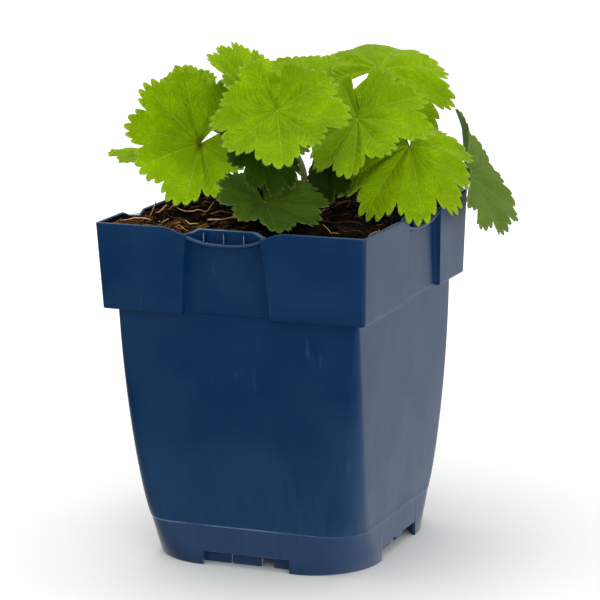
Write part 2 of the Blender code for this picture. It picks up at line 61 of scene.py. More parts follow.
class Slot(Enum):
    """Material slots that the record names."""

    POT = "pot_plastic"
    COMPOST = "compost"
    CROWN = "crown_wood"
    LEAF = "leaf_green"


def chance(seed: float, number: Number) -> np.ndarray:
    """A repeatable value between 0 and 1: the fraction of a large multiple of a sine.

    Args:
        seed: which series of values.
        number: which values of the series.
    Returns:
        One value for each number.
    """
    value = np.sin(seed * 12.9898 + np.asarray(number, dtype=float) * 78.233) * 43758.5453
    return value - np.floor(value)


def ease(low: float, high: float, value: Number) -> Number:
    """A smooth step from 0 at low to 1 at high: three times the square less twice the cube.

    Args:
        low: where the step starts.
        high: where it ends, which may lie below where it starts.
        value: where it is asked for.
    Returns:
        The step's height at each value.
    """
    part = np.clip((value - low) / (high - low), 0.0, 1.0)
    return part * part * (3.0 - 2.0 * part)


def mix(first: Number, second: Number, part: Number) -> Number:
    """The value a part of the way from the first to the second."""
    return first + (second - first) * part


def unit(arrows: np.ndarray) -> np.ndarray:
    """Arrows, in rows, brought to a length of 1."""
    return arrows / np.linalg.norm(arrows, axis=-1, keepdims=True)


def side_axes(side: int) -> Tuple[np.ndarray, np.ndarray]:
    """Directions along and out of one of the four sides, numbered counter-clockwise from the front.

    Args:
        side: which side, 0 to 3.
    Returns:
        The direction along it and the one out of it.
    """
    turn = side * pi / 2
    return np.array([cos(turn), sin(turn), 0.0]), np.array([sin(turn), -cos(turn), 0.0])


def uneven(points: np.ndarray, pitch: float, seed: float) -> np.ndarray:
    """Smooth unevenness in space: chance values on a cubic lattice, blended by smooth steps between.

    Args:
        points: places, in rows of three.
        pitch: spacing of the lattice.
        seed: which unevenness.
    Returns:
        One value between -1 and 1 for each place.
    """
    cell = np.floor(points / pitch)
    part = ease(0.0, 1.0, points / pitch - cell)
    total = np.zeros(points.shape[:-1])
    for corner in np.ndindex(2, 2, 2):
        weight = np.prod(np.where(np.array(corner) == 1, part, 1.0 - part), axis=-1)
        total += chance(seed, (cell + np.array(corner)) @ LATTICE) * weight
    return 2.0 * total - 1.0


@dataclass
class Skin:
    """Points and faces of a surface in the making, with numbers marked on its points and a slot to a face."""

    points: np.ndarray
    faces: List[np.ndarray]
    marks: Dict[str, np.ndarray] = field(default_factory=dict)
    slots: Union[int, np.ndarray] = 0

    def __post_init__(self) -> None:
        """Spreads a single slot over all the faces."""
        if isinstance(self.slots, int):
            self.slots = np.full(sum(len(part) for part in self.faces), self.slots)

    def joined(self, other: "Skin") -> "Skin":
        """This skin and another as one, each keeping its own marks.

        Args:
            other: the skin that comes after this one.
        Returns:
            A new skin with both.
        """
        shift, more = len(self.points), len(other.points)
        marks = {name: np.concatenate([self.marks.get(name, np.zeros(shift)),
                                       other.marks.get(name, np.zeros(more))])
                 for name in sorted(set(self.marks) | set(other.marks))}
        faces = self.faces + [part + shift for part in other.faces]
        return Skin(np.concatenate([self.points, other.points]), faces, marks,
                    np.concatenate([self.slots, other.slots]))

    def piece(self, name: str, finishes: Sequence[bpy.types.Material], slot: Slot,
              stands_for: Sequence[str], sharp: Optional[float] = None) -> bpy.types.Object:
        """Makes the object, dresses it and sets it on the frame.

        Args:
            name: the piece's name.
            finishes: its materials, in the order that the faces' slots count them.
            slot: the record's slot that it takes its finish from; not used.
            stands_for: solids that it is shown in place of.
            sharp: angle in degrees over which an edge is shaded sharp, if any.
        Returns:
            The finished piece.
        """
        mesh = bpy.data.meshes.new(name)
        faces = [row for part in self.faces for row in part.tolist()]
        mesh.from_pydata((self.points * MM).tolist(), [], faces)
        for finish in finishes:
            mesh.materials.append(finish)
        mesh.polygons.foreach_set("material_index", self.slots.astype(np.int32))
        mesh.polygons.foreach_set("use_smooth", np.ones(len(mesh.polygons), dtype=bool))
        for mark, values in self.marks.items():
            mesh.attributes.new(mark, "FLOAT", "POINT").data.foreach_set("value", values.astype(np.float32))
        if sharp is not None:
            mesh.set_sharp_from_angle(angle=radians(sharp))
        mesh.update()
        thing = bpy.data.objects.new(name, mesh)
        bpy.context.scene.collection.objects.link(thing)
        if stands_for:
            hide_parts(*stands_for)
        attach(thing, "root")
        LOG.info("%s: %d faces", name, len(mesh.polygons))
        return thing


def between_rows(rows: int, columns: int, closed: bool) -> np.ndarray:
    """Quads between rows of points, facing out where columns run counter-clockwise and rows run up.

    Args:
        rows: how many rows of points.
        columns: how many points in a row.
        closed: whether the last column joins the first.
    Returns:
        Corner numbers, four to a quad.
    """
    row = np.arange(rows - 1)[:, None] * columns
    column = np.arange(columns if closed else columns - 1)[None, :]
    after = (column + 1) % columns
    return np.stack([row + column, row + after, row + columns + after, row + columns + column],
                    axis=-1).reshape(-1, 4)


def drums(rounds: np.ndarray, marks: Optional[Dict[str, np.ndarray]] = None, slot: int = 0,
          flip: bool = False) -> Skin:
    """Closed skins made of rounds of points, with a flat face over each end.

    Args:
        rounds: skins by rounds by points by three, each round counter-clockwise seen from the next.
        marks: numbers for the points, by name.
        slot: slot of all the faces.
        flip: whether the rounds run clockwise instead.
    Returns:
        All of them as one skin.
    """
    number, steps, sides = rounds.shape[:3]
    start = (np.arange(number) * steps * sides)[:, None]
    quads = (between_rows(steps, sides, True)[None] + start[..., None]).reshape(-1, 4)
    faces = [quads, np.arange(sides)[::-1] + start, np.arange((steps - 1) * sides, steps * sides) + start]
    if flip:
        faces = [part[:, ::-1] for part in faces]
    return Skin(rounds.reshape(-1, 3), faces, marks or {}, slot)


def tubes(paths: np.ndarray, radii: np.ndarray, sides: int, upright: np.ndarray, slot: int = 0) -> Skin:
    """Closed tubes: a regular polygon carried along each path, square to it, as wide as the radius there.

    Args:
        paths: places along each path, tubes by steps by three.
        radii: radius at each place.
        sides: sides of the polygon.
        upright: a direction for each tube that its path never runs along.
        slot: slot of all the faces.
    Returns:
        All tubes as one skin, with the share of the way along marked as "along".
    """
    run = unit(np.gradient(paths, axis=1))
    first = unit(np.cross(run, np.broadcast_to(upright, run.shape)))
    second = np.cross(run, first)
    angle = 2.0 * pi * np.arange(sides)[:, None] / sides
    turn = np.cos(angle) * first[:, :, None, :] + np.sin(angle) * second[:, :, None, :]
    rounds = paths[:, :, None, :] + radii[:, :, None, None] * turn
    along = np.broadcast_to(np.linspace(0.0, 1.0, paths.shape[1])[None, :, None], rounds.shape[:3])
    return drums(rounds, {"along": along.reshape(-1)}, slot)


def soft_block(middle: np.ndarray, along: np.ndarray, out: np.ndarray, half: Sequence[float],
               rows: int = 12, columns: int = 24, power: float = 0.12) -> Skin:
    """A block with softened edges: a squared-off globe whose sines and cosines are raised to a small power.

    Args:
        middle: its middle.
        along: direction of its length.
        out: direction of its width.
        half: half its length, width and height.
        rows: rounds of points between its two poles.
        columns: points in a round.
        power: the power, less for sharper edges.
    Returns:
        The block as a skin.
    """
    lat = np.linspace(-pi / 2, pi / 2, rows + 2)[1:-1][:, None]
    lon = (np.arange(columns) + 0.5)[None, :] * 2.0 * pi / columns
    wide, ahead, aside, tall = [np.sign(v) * np.abs(v) ** power
                                for v in (np.cos(lat), np.cos(lon), np.sin(lon), np.sin(lat))]
    x, y = wide * ahead * half[0], wide * aside * half[1]
    z = tall * half[2] + np.zeros_like(lon)
    points = middle + x[..., None] * along + y[..., None] * out + z[..., None] * UP
    poles = [middle - half[2] * UP, middle + half[2] * UP]
    count = rows * columns
    turn = np.arange(columns)
    after, last = (turn + 1) % columns, count - columns
    low = np.stack([np.full(columns, count), after, turn], axis=-1)
    high = np.stack([np.full(columns, count + 1), last + turn, last + after], axis=-1)
    points = np.concatenate([points.reshape(-1, 3), poles])
    return Skin(points, [between_rows(rows, columns, True), low, high])


class Wiring:
    """Adds nodes to a node tree and joins them."""

    def __init__(self, tree: bpy.types.NodeTree) -> None:
        """Takes the tree that the nodes go into."""
        self.tree = tree

    def node(self, kind: str, feeds: Dict[Union[str, int], Feed], **settings: object) -> bpy.types.Node:
        """Adds a node, sets it and feeds its inputs with sockets or plain values.

        Args:
            kind: the node's type.
            feeds: what goes into which input.
            settings: the node's own properties.
        Returns:
            The node.
        """
        made = self.tree.nodes.new(kind)
        for name, value in settings.items():
            setattr(made, name, value)
        for key, value in feeds.items():
            socket = made.inputs[key]
            if isinstance(value, bpy.types.NodeSocket):
                self.tree.links.new(value, socket)
            else:
                socket.default_value = (*value[:3], 1.0) if socket.type == "RGBA" else value
        return made

    def math(self, operation: str, first: Feed, second: Feed = 0.0, third: Feed = 0.0) -> Socket:
        """One step of arithmetic."""
        feeds = {0: first, 1: second, 2: third}
        return self.node("ShaderNodeMath", feeds, operation=operation).outputs[0]

    def times(self, first: Feed, *others: Feed) -> Feed:
        """The product of several values, multiplied from the left."""
        return reduce(lambda product, other: self.math("MULTIPLY", product, other), others, first)

    def spread(self, value: Feed, low: float, high: float, start: float = 0.0, end: float = 1.0) -> Socket:
        """A value brought from one range to another, smoothly and held at its ends.

        Args:
            value: the value.
            low: where the first range starts.
            high: where it ends.
            start: what low becomes.
            end: what high becomes.
        Returns:
            The new value.
        """
        feeds = {"Value": value, "From Min": low, "From Max": high, "To Min": start, "To Max": end}
        return self.node("ShaderNodeMapRange", feeds, interpolation_type="SMOOTHSTEP").outputs["Result"]


class Bench(Wiring):
    """Lays out the nodes of one material."""

    def __init__(self, name: str) -> None:
        """Starts an empty material with its output node.

        Args:
            name: the material's name.
        """
        self.material = bpy.data.materials.new(name)
        self.material.use_nodes = True
        super().__init__(self.material.node_tree)
        self.tree.nodes.clear()

    def place(self, stretch: Tuple[float, float, float] = (1.0, 1.0, 1.0)) -> Socket:
        """Object coordinates, stretched along the axes."""
        where = self.node("ShaderNodeTexCoord", {}).outputs["Object"]
        return self.node("ShaderNodeMapping", {"Vector": where, "Scale": stretch}).outputs["Vector"]

    def mark(self, name: str) -> Socket:
        """A number kept on the mesh's points."""
        return self.node("ShaderNodeAttribute", {}, attribute_name=name).outputs["Fac"]

    def noise(self, where: Socket, scale: float, detail: float = 3.0, rough: float = 0.55) -> Socket:
        """Cloudy noise between 0 and 1, so many clouds to the metre."""
        feeds = {"Vector": where, "Scale": scale, "Detail": detail, "Roughness": rough}
        return self.node("ShaderNodeTexNoise", feeds).outputs["Fac"]

    def cells(self, where: Socket, scale: float, feature: str = "F1") -> Socket:
        """Distance pattern of scattered cells, so many to the metre."""
        made = self.node("ShaderNodeTexVoronoi", {"Vector": where, "Scale": scale}, feature=feature)
        return made.outputs["Distance"]

    def layered(self, ground: Feed, *layers: Tuple[Feed, Feed]) -> Feed:
        """Colours laid over a ground one after another, each by its own share.

        Args:
            ground: the first colour.
            layers: the share and the colour of each layer, the lowest first.
        Returns:
            The colour that comes out on top.
        """
        for share, colour in layers:
            feeds = {0: share, 6: ground, 7: colour}
            ground = self.node("ShaderNodeMix", feeds, data_type="RGBA", blend_type="MIX").outputs[2]
        return ground

    def relief(self, height: Socket, depth: float, strength: float = 1.0,
               under: Optional[Socket] = None) -> Socket:
        """Raised and sunk detail.

        Args:
            height: the detail's height, from 0 to 1.
            depth: what a height of 1 stands for, in metres.
            strength: how strongly it shows.
            under: coarser detail that it lies on, if any.
        Returns:
            The direction that the surface faces.
        """
        feeds = {"Height": height, "Distance": depth, "Strength": strength}
        if under is not None:
            feeds["Normal"] = under
        return self.node("ShaderNodeBump", feeds).outputs["Normal"]

    def surface(self, colour: Feed, rough: Feed, normal: Optional[Socket] = None,
                **own: Feed) -> bpy.types.Node:
        """The surface shader, with its constant settings on its own sockets.

        Args:
            colour: its colour.
            rough: how rough it is.
            normal: the direction that it faces, if it has relief.
            own: its other settings, with an underscore for each space in the socket's name.
        Returns:
            The shader's node.
        """
        feeds = {"Base Color": colour, "Roughness": rough}
        if normal is not None:
            feeds["Normal"] = normal
        feeds.update({name.replace("_", " "): value for name, value in own.items()})
        return self.node("ShaderNodeBsdfPrincipled", feeds)

    def done(self, shader: bpy.types.Node) -> bpy.types.Material:
        """Joins the shader to the output and returns the material."""
        self.node("ShaderNodeOutputMaterial", {"Surface": shader.outputs[0]})
        return self.material


@dataclass(frozen=True)
class PotPlastic:
    """Smooth dark-blue polypropylene, faintly grained, scuffed and dusty low down, with a painted highlight
    on its mould line, pale worn edges that are partly painted highlight, and its inside painted near black as
    shade.
    """

    blue: Colour = (0.0003, 0.0180, 0.0690)
    worn: Colour = (0.014, 0.055, 0.125)
    # pale: the painted highlight of the mould line, and the pale worn edges, which are partly painted
    # highlight
    pale: Colour = (0.120, 0.190, 0.270)
    bloom: Colour = (0.130, 0.130, 0.240)
    dust: Colour = (0.060, 0.070, 0.075)
    # soil: near black laid over the inside as painted shade
    soil: Colour = (0.0035, 0.0055, 0.0100)
    mirrored: Colour = (0.55, 0.80, 1.0)
    rough: float = 0.31
    rough_inside: float = 0.76
    rough_spread: float = 0.10
    clouds: float = 38.0
    patches: float = 55.0
    streaks: float = 420.0
    specks: float = 130.0
    grain: float = 2600.0
    clouding: float = 0.22
    scuffing: float = 0.35
    wear_low: float = 0.55
    wear_ends: float = 0.075
    dusting: float = 0.16
    blooming: float = 0.10
    bloom_ends: float = 0.0163
    line_height: float = 0.01612
    # half width of the mould line's painted highlight, and where it fades to the right
    highlight_half_width: float = 0.00042
    highlight_fade_from: float = 0.022
    highlight_fade_to: float = 0.044

    def line(self, bench: Bench, where: Socket, height: Socket, across: Socket) -> Socket:
        """The mould line's share, a painted highlight: a fine pale line at one height for the light that its
        small ledge catches, patchy, and fainter to the right.

        Args:
            bench: the material in the making.
            where: place on the pot.
            height: its height.
            across: how far right it is.
        Returns:
            How strongly the painted highlight shows.
        """
        off = bench.math("ABSOLUTE", bench.math("SUBTRACT", height, self.line_height))
        patchy = bench.spread(bench.noise(where, 70.0, 2.0), 0.35, 0.60, 0.25, 0.85)
        fading = bench.spread(across, self.highlight_fade_from, self.highlight_fade_to, 1.0, 0.25)
        return bench.times(bench.spread(off, 0.00008, self.highlight_half_width, 1.0, 0.0), patchy, fading)

    def make(self, shaded_inside: bool = False) -> bpy.types.Material:
        """The material, with flow clouding, scuffs, dust settled low down, and the painted highlights of the
        mould line and of the pale worn edges.

        Args:
            shaded_inside: whether it is the inside, painted near black as shade, rough and dull.
        Returns:
            The material.
        """
        bench = Bench("pot_plastic_inside_shade" if shaded_inside else "pot_plastic_blue")
        where = bench.place()
        split = bench.node("ShaderNodeSeparateXYZ", {0: where}).outputs
        cloud = bench.noise(where, self.clouds, 4.0)
        patch = bench.noise(where, self.patches, 2.0)
        streak = bench.noise(bench.place((1.0, 1.0, 0.14)), self.streaks, 2.0)
        scuff = bench.times(bench.spread(streak, 0.62, 0.72),
                            bench.spread(patch, 0.50, 0.68, 0.0, self.scuffing))
        low = bench.spread(split["Z"], 0.004, self.wear_ends, self.wear_low, 0.0)
        colour = bench.layered(
            self.blue,
            (bench.spread(cloud, 0.3, 0.8, 0.0, self.clouding), self.worn),
            (scuff, self.worn),
            (bench.times(low, bench.spread(streak, 0.3, 0.7, 0.6, 1.0)), self.worn),
            (bench.spread(split["Z"], 0.0155, self.bloom_ends, self.blooming, 0.0), self.bloom),
            (bench.times(low, bench.noise(where, self.specks, 5.0), self.dusting), self.dust),
            # painted highlight: the pale mould line
            (self.line(bench, where, split["Z"], split["X"]), self.pale),
            # pale worn edges of rim, lip nose and ribs: partly edge wear, partly painted highlight
            (bench.times(bench.mark("worn"), bench.spread(patch, 0.30, 0.65, 0.35, 1.0)), self.pale))
        rough, scuffed, shine = self.rough, 0.45, 0.34
        # painted shade: the inside wall darkened near black for the shadow in it
        if shaded_inside:
            colour = bench.layered(colour, (bench.spread(cloud, 0.25, 0.75, 1.0, 0.85), self.soil))
            rough, scuffed, shine = self.rough_inside, 0.15, 0.03
        rough = bench.math("ADD", bench.spread(cloud, 0.3, 0.8, rough, rough + self.rough_spread),
                           bench.times(scuff, scuffed))
        normal = bench.relief(cloud, 0.0009, 0.30)
        normal = bench.relief(bench.noise(where, self.grain, 2.0), 0.00003, 0.5, normal)
        return bench.done(bench.surface(colour, rough, normal, Specular_IOR_Level=shine,
                                        Specular_Tint=self.mirrored))


@dataclass(frozen=True)
class Peat:
    """Dark peat, crumbly, with paler dry grains; its near black is partly painted shade for the leaves over
    it.
    """

    # near black and dark brown: partly the peat's own colour, partly painted shade for the leaves over it
    peat_black_and_shade: Colour = (0.0012, 0.0008, 0.0006)
    brown: Colour = (0.0075, 0.0036, 0.0018)
    dry: Colour = (0.055, 0.024, 0.009)
    lumps: float = 160.0
    grains: float = 900.0
    grain_patches: float = 260.0
    pits: float = 700.0
    pit_depth: float = 0.0011

    def make(self) -> bpy.types.Material:
        """The material: near black, brown in broad patches and with dry grains; the near black and the dark
        brown are partly painted shade.

        Returns:
            The material.
        """
        bench = Bench("compost_peat")
        where = bench.place()
        broad = bench.noise(where, self.lumps, 5.0, 0.65)
        grain = bench.times(bench.spread(bench.cells(where, self.grains), 0.05, 0.30, 1.0, 0.0),
                            bench.spread(bench.noise(where, self.grain_patches, 2.0), 0.52, 0.70, 0.0, 0.8))
        # painted shade in part: the near-black ground and the dark brown stand partly for the leaves' shadow
        colour = bench.layered(self.peat_black_and_shade, (bench.spread(broad, 0.38, 0.68), self.brown), (grain, self.dry))
        normal = bench.relief(bench.noise(where, self.pits, 6.0, 0.7), self.pit_depth)
        rough = bench.spread(broad, 0.3, 0.8, 0.78, 0.97)
        return bench.done(bench.surface(colour, rough, normal, Specular_IOR_Level=0.04))


@dataclass(frozen=True)
class Straw:
    """Dry fibres from dark bark brown to pale straw."""

    pale: Colour = (0.700, 0.390, 0.140)
    tan: Colour = (0.150, 0.060, 0.012)
    dark: Colour = (0.012, 0.005, 0.003)
    flecks: float = 800.0
    flecking: float = 0.4

    def make(self) -> bpy.types.Material:
        """The material, whose shade follows each fibre's own tint.

        Returns:
            The material.
        """
        bench = Bench("compost_fibre")
        tint, fleck = bench.mark("tint"), bench.noise(bench.place(), self.flecks, 3.0)
        colour = bench.layered(self.dark, (bench.spread(tint, 0.25, 0.75), self.tan),
                               (bench.spread(tint, 0.78, 1.0), self.pale),
                               (bench.spread(fleck, 0.45, 0.75, 0.0, self.flecking), self.dark))
        return bench.done(bench.surface(colour, bench.spread(fleck, 0.3, 0.8, 0.62, 0.85),
                                        bench.relief(fleck, 0.0002, 0.7), Specular_IOR_Level=0.12))


@dataclass(frozen=True)
class Bark:
    """The rootstock's fibrous brown, with green where young growth breaks."""

    brown: Colour = (0.070, 0.038, 0.018)
    green: Colour = (0.110, 0.130, 0.030)
    crack: Colour = (0.015, 0.008, 0.004)
    streaks: float = 900.0
    blots: float = 180.0

    def make(self) -> bpy.types.Material:
        """The material, streaked along the upright direction.

        Returns:
            The material.
        """
        bench = Bench("crown_bark")
        streak = bench.noise(bench.place((1.0, 1.0, 0.2)), self.streaks, 4.0)
        blot = bench.noise(bench.place(), self.blots, 3.0)
        colour = bench.layered(self.brown, (bench.spread(blot, 0.45, 0.65), self.green),
                               (bench.spread(streak, 0.4, 0.7, 0.7, 0.0), self.crack))
        return bench.done(bench.surface(colour, bench.spread(streak, 0.3, 0.7, 0.7, 0.92),
                                        bench.relief(streak, 0.0005, 0.9)))


@dataclass(frozen=True)
class Blade:
    """A soft leaf blade: matt green with pale veins, painted shade in the creases beside its midribs, a bloom
    of hairs and light coming through it.

    Widths and places of the veins are shares of the blade's reach, and of a lobe's half width.
    """

    name: str
    green: Colour
    deep: Colour
    vein: Colour
    spot: Colour = (0.045, 0.012, 0.004)
    underside: Colour = (0.30, 0.36, 0.20)
    jogs: float = 240.0
    rib_half: float = 0.046
    side_veins: float = 7.5
    side_sweep: float = 0.34
    side_bend: float = 1.25
    side_half: float = 0.15
    meshes: float = 620.0
    shades: float = 55.0
    quilts: float = 175.0
    fine_grain: float = 420.0
    rib_shows: float = 0.50
    side_shows: float = 0.30
    mesh_shows: float = 0.22
    relief: float = 0.00065
    through: float = 0.24

    def veins(self, bench: Bench) -> Tuple[Socket, Socket, Socket]:
        """Midribs and side veins drawn from the blade's own marks.

        Args:
            bench: the material in the making.
        Returns:
            How far off the nearest midrib is, how strongly a midrib shows, and how strongly a side vein does.
        """
        jog = bench.noise(bench.place(), self.jogs, 2.0)
        near = bench.math("ABSOLUTE", bench.math("ADD", bench.mark("near"),
                                                 bench.math("MULTIPLY_ADD", jog, 0.05, -0.025)))
        out = bench.mark("out")
        far = bench.times(near, out)
        rib = bench.times(bench.spread(far, 0.004, self.rib_half, 1.0, 0.0),
                          bench.spread(out, 0.5, 1.0, 1.0, 0.5))
        swept = bench.times(bench.math("POWER", near, self.side_bend), self.side_sweep)
        side = bench.math("SUBTRACT", out, swept)
        side = bench.math("MULTIPLY_ADD", side, self.side_veins, bench.times(bench.mark("seed"), 5.0))
        wave = bench.math("PINGPONG", bench.math("ADD", side, bench.times(jog, 0.35)), 0.5)
        line = bench.times(bench.spread(wave, 0.0, self.side_half, 1.0, 0.0), bench.spread(out, 0.16, 0.34),
                           bench.spread(near, 0.80, 1.0, 1.0, 0.35))
        return far, rib, line

    def make(self, under: bool = False) -> bpy.types.Material:
        """The material for the upper or the under face.

        Args:
            under: whether it is the paler under face.
        Returns:
            The material.
        """
        bench = Bench(self.name + ("_under" if under else "_upper"))
        where = bench.place()
        far, rib, line = self.veins(bench)
        mesh_line = bench.spread(bench.cells(where, self.meshes, "DISTANCE_TO_EDGE"), 0.0, 0.10, 1.0, 0.0)
        broad = bench.noise(where, self.shades, 3.0)
        quilt = bench.noise(where, self.quilts, 2.0)
        fine = bench.noise(where, self.fine_grain, 4.0)
        pale = tuple(0.45 * v + 0.55 * g for v, g in zip(self.vein, self.green))
        # painted shade: darker bands beside the midribs, where the pleats crease
        crease_shade = bench.times(bench.spread(far, 0.04, 0.14, 1.0, 0.0),
                            bench.spread(bench.mark("out"), 0.1, 0.5, 0.25, 0.16))
        colour = bench.layered(
            self.deep,
            (bench.spread(broad, 0.32, 0.68), self.green),
            (bench.spread(quilt, 0.36, 0.66, 0.0, 0.55), self.deep),
            (bench.spread(fine, 0.35, 0.75, 0.0, 0.30), self.deep),
            (bench.times(mesh_line, self.mesh_shows), pale),
            (crease_shade, self.deep),
            (bench.times(line, self.side_shows), pale),
            (bench.times(rib, self.rib_shows), self.vein),
            (bench.spread(bench.mark("rim"), 0.90, 1.0, 0.0, 0.45), self.vein),
            (bench.times(bench.mark("spot"), bench.spread(fine, 0.30, 0.55, 0.55, 1.0)), self.spot))
        height = bench.math("ADD", bench.times(fine, 0.55), bench.times(quilt, 1.3))
        for groove, depth in ((rib, 0.40), (line, 0.5), (mesh_line, 0.30)):
            height = bench.math("SUBTRACT", height, bench.times(groove, depth))
        if under:
            colour = bench.layered(colour, (0.30, self.underside))
            height = bench.times(height, -1.0)
        normal = bench.relief(height, self.relief, 0.90)
        rough = bench.spread(fine, 0.3, 0.8, 0.50, 0.66)
        shader = bench.surface(colour, rough, normal, Specular_IOR_Level=0.035)
        glow = bench.node("ShaderNodeBsdfTranslucent", {"Color": colour, "Normal": normal})
        return bench.done(bench.node("ShaderNodeMixShader",
                                     {0: self.through, 1: shader.outputs[0], 2: glow.outputs[0]}))


@dataclass(frozen=True)
class Stalk:
    """A softly hairy leaf stalk, pale green above and reddish at its foot."""

    foot: Colour = (0.160, 0.060, 0.030)
    green: Colour = (0.200, 0.270, 0.050)
    groove: Colour = (0.09, 0.12, 0.02)
    streaks: float = 1500.0
    grain: float = 2200.0

    def make(self) -> bpy.types.Material:
        """The material, shaded by the share of the way up the stalk.

        Returns:
            The material.
        """
        bench = Bench("leaf_stalk")
        streak = bench.noise(bench.place((1.0, 1.0, 0.15)), self.streaks, 2.0)
        colour = bench.layered(self.foot, (bench.spread(bench.mark("along"), 0.10, 0.42), self.green),
                               (bench.spread(streak, 0.35, 0.7, 0.35, 0.0), self.groove))
        normal = bench.relief(bench.noise(bench.place(), self.grain, 3.0), 0.0001, 0.6)
        return bench.done(bench.surface(colour, bench.spread(streak, 0.3, 0.7, 0.5, 0.62), normal,
                                        Sheen_Weight=0.3, Sheen_Roughness=0.4))


@dataclass(frozen=True)
class Down:
    """The fine pale hairs on rims and stalks."""

    root: Colour = (0.26, 0.36, 0.08)
    pale: Colour = (0.42, 0.50, 0.24)

    def make(self) -> bpy.types.Material:
        """The material, a shade yellower at the root.

        Returns:
            The material.
        """
        bench = Bench("leaf_down")
        colour = bench.layered(self.root, (bench.mark("along"), self.pale))
        return bench.done(bench.surface(colour, 0.5, Sheen_Weight=0.2))


class Tone(Enum):
    """The leaf finishes: fresh, plain and grey greens, a copy painted lighter for leaves turned away from the
    lamps, and two copies painted darker as shade for leaves under the others.
    """

    FRESH = Blade("leaf_fresh", (0.290, 0.480, 0.0003), (0.165, 0.305, 0.0005), (0.37, 0.54, 0.03))
    GREEN = Blade("leaf_green", (0.310, 0.505, 0.0003), (0.178, 0.322, 0.0005), (0.40, 0.56, 0.03))
    # painted light: a lighter copy of the plain green for leaves turned away from the lamps
    PAINTED_LIGHT = Blade("leaf_painted_light", (0.375, 0.605, 0.0004), (0.220, 0.390, 0.0006), (0.46, 0.63, 0.04))
    # painted shade: the darkest copy, for the leaves deep under the others
    PAINTED_DEEP_SHADE = Blade("leaf_painted_deep_shade", (0.030, 0.082, 0.0003), (0.016, 0.046, 0.0004), (0.08, 0.15, 0.015))
    # painted shade: a darker copy for the low front leaf under the canopy
    PAINTED_SHADE = Blade("leaf_painted_shade", (0.086, 0.155, 0.009), (0.045, 0.097, 0.004), (0.16, 0.25, 0.04))
    GREY = Blade("leaf_grey", (0.158, 0.258, 0.037), (0.120, 0.202, 0.024), (0.27, 0.36, 0.10))


@dataclass(frozen=True)
class Panel:
    """A panel set back in one side of the collar: its middle, its half width and its depth, top and foot."""

    middle: float
    half_top: float
    half_foot: float
    deep_top: float
    deep_foot: float


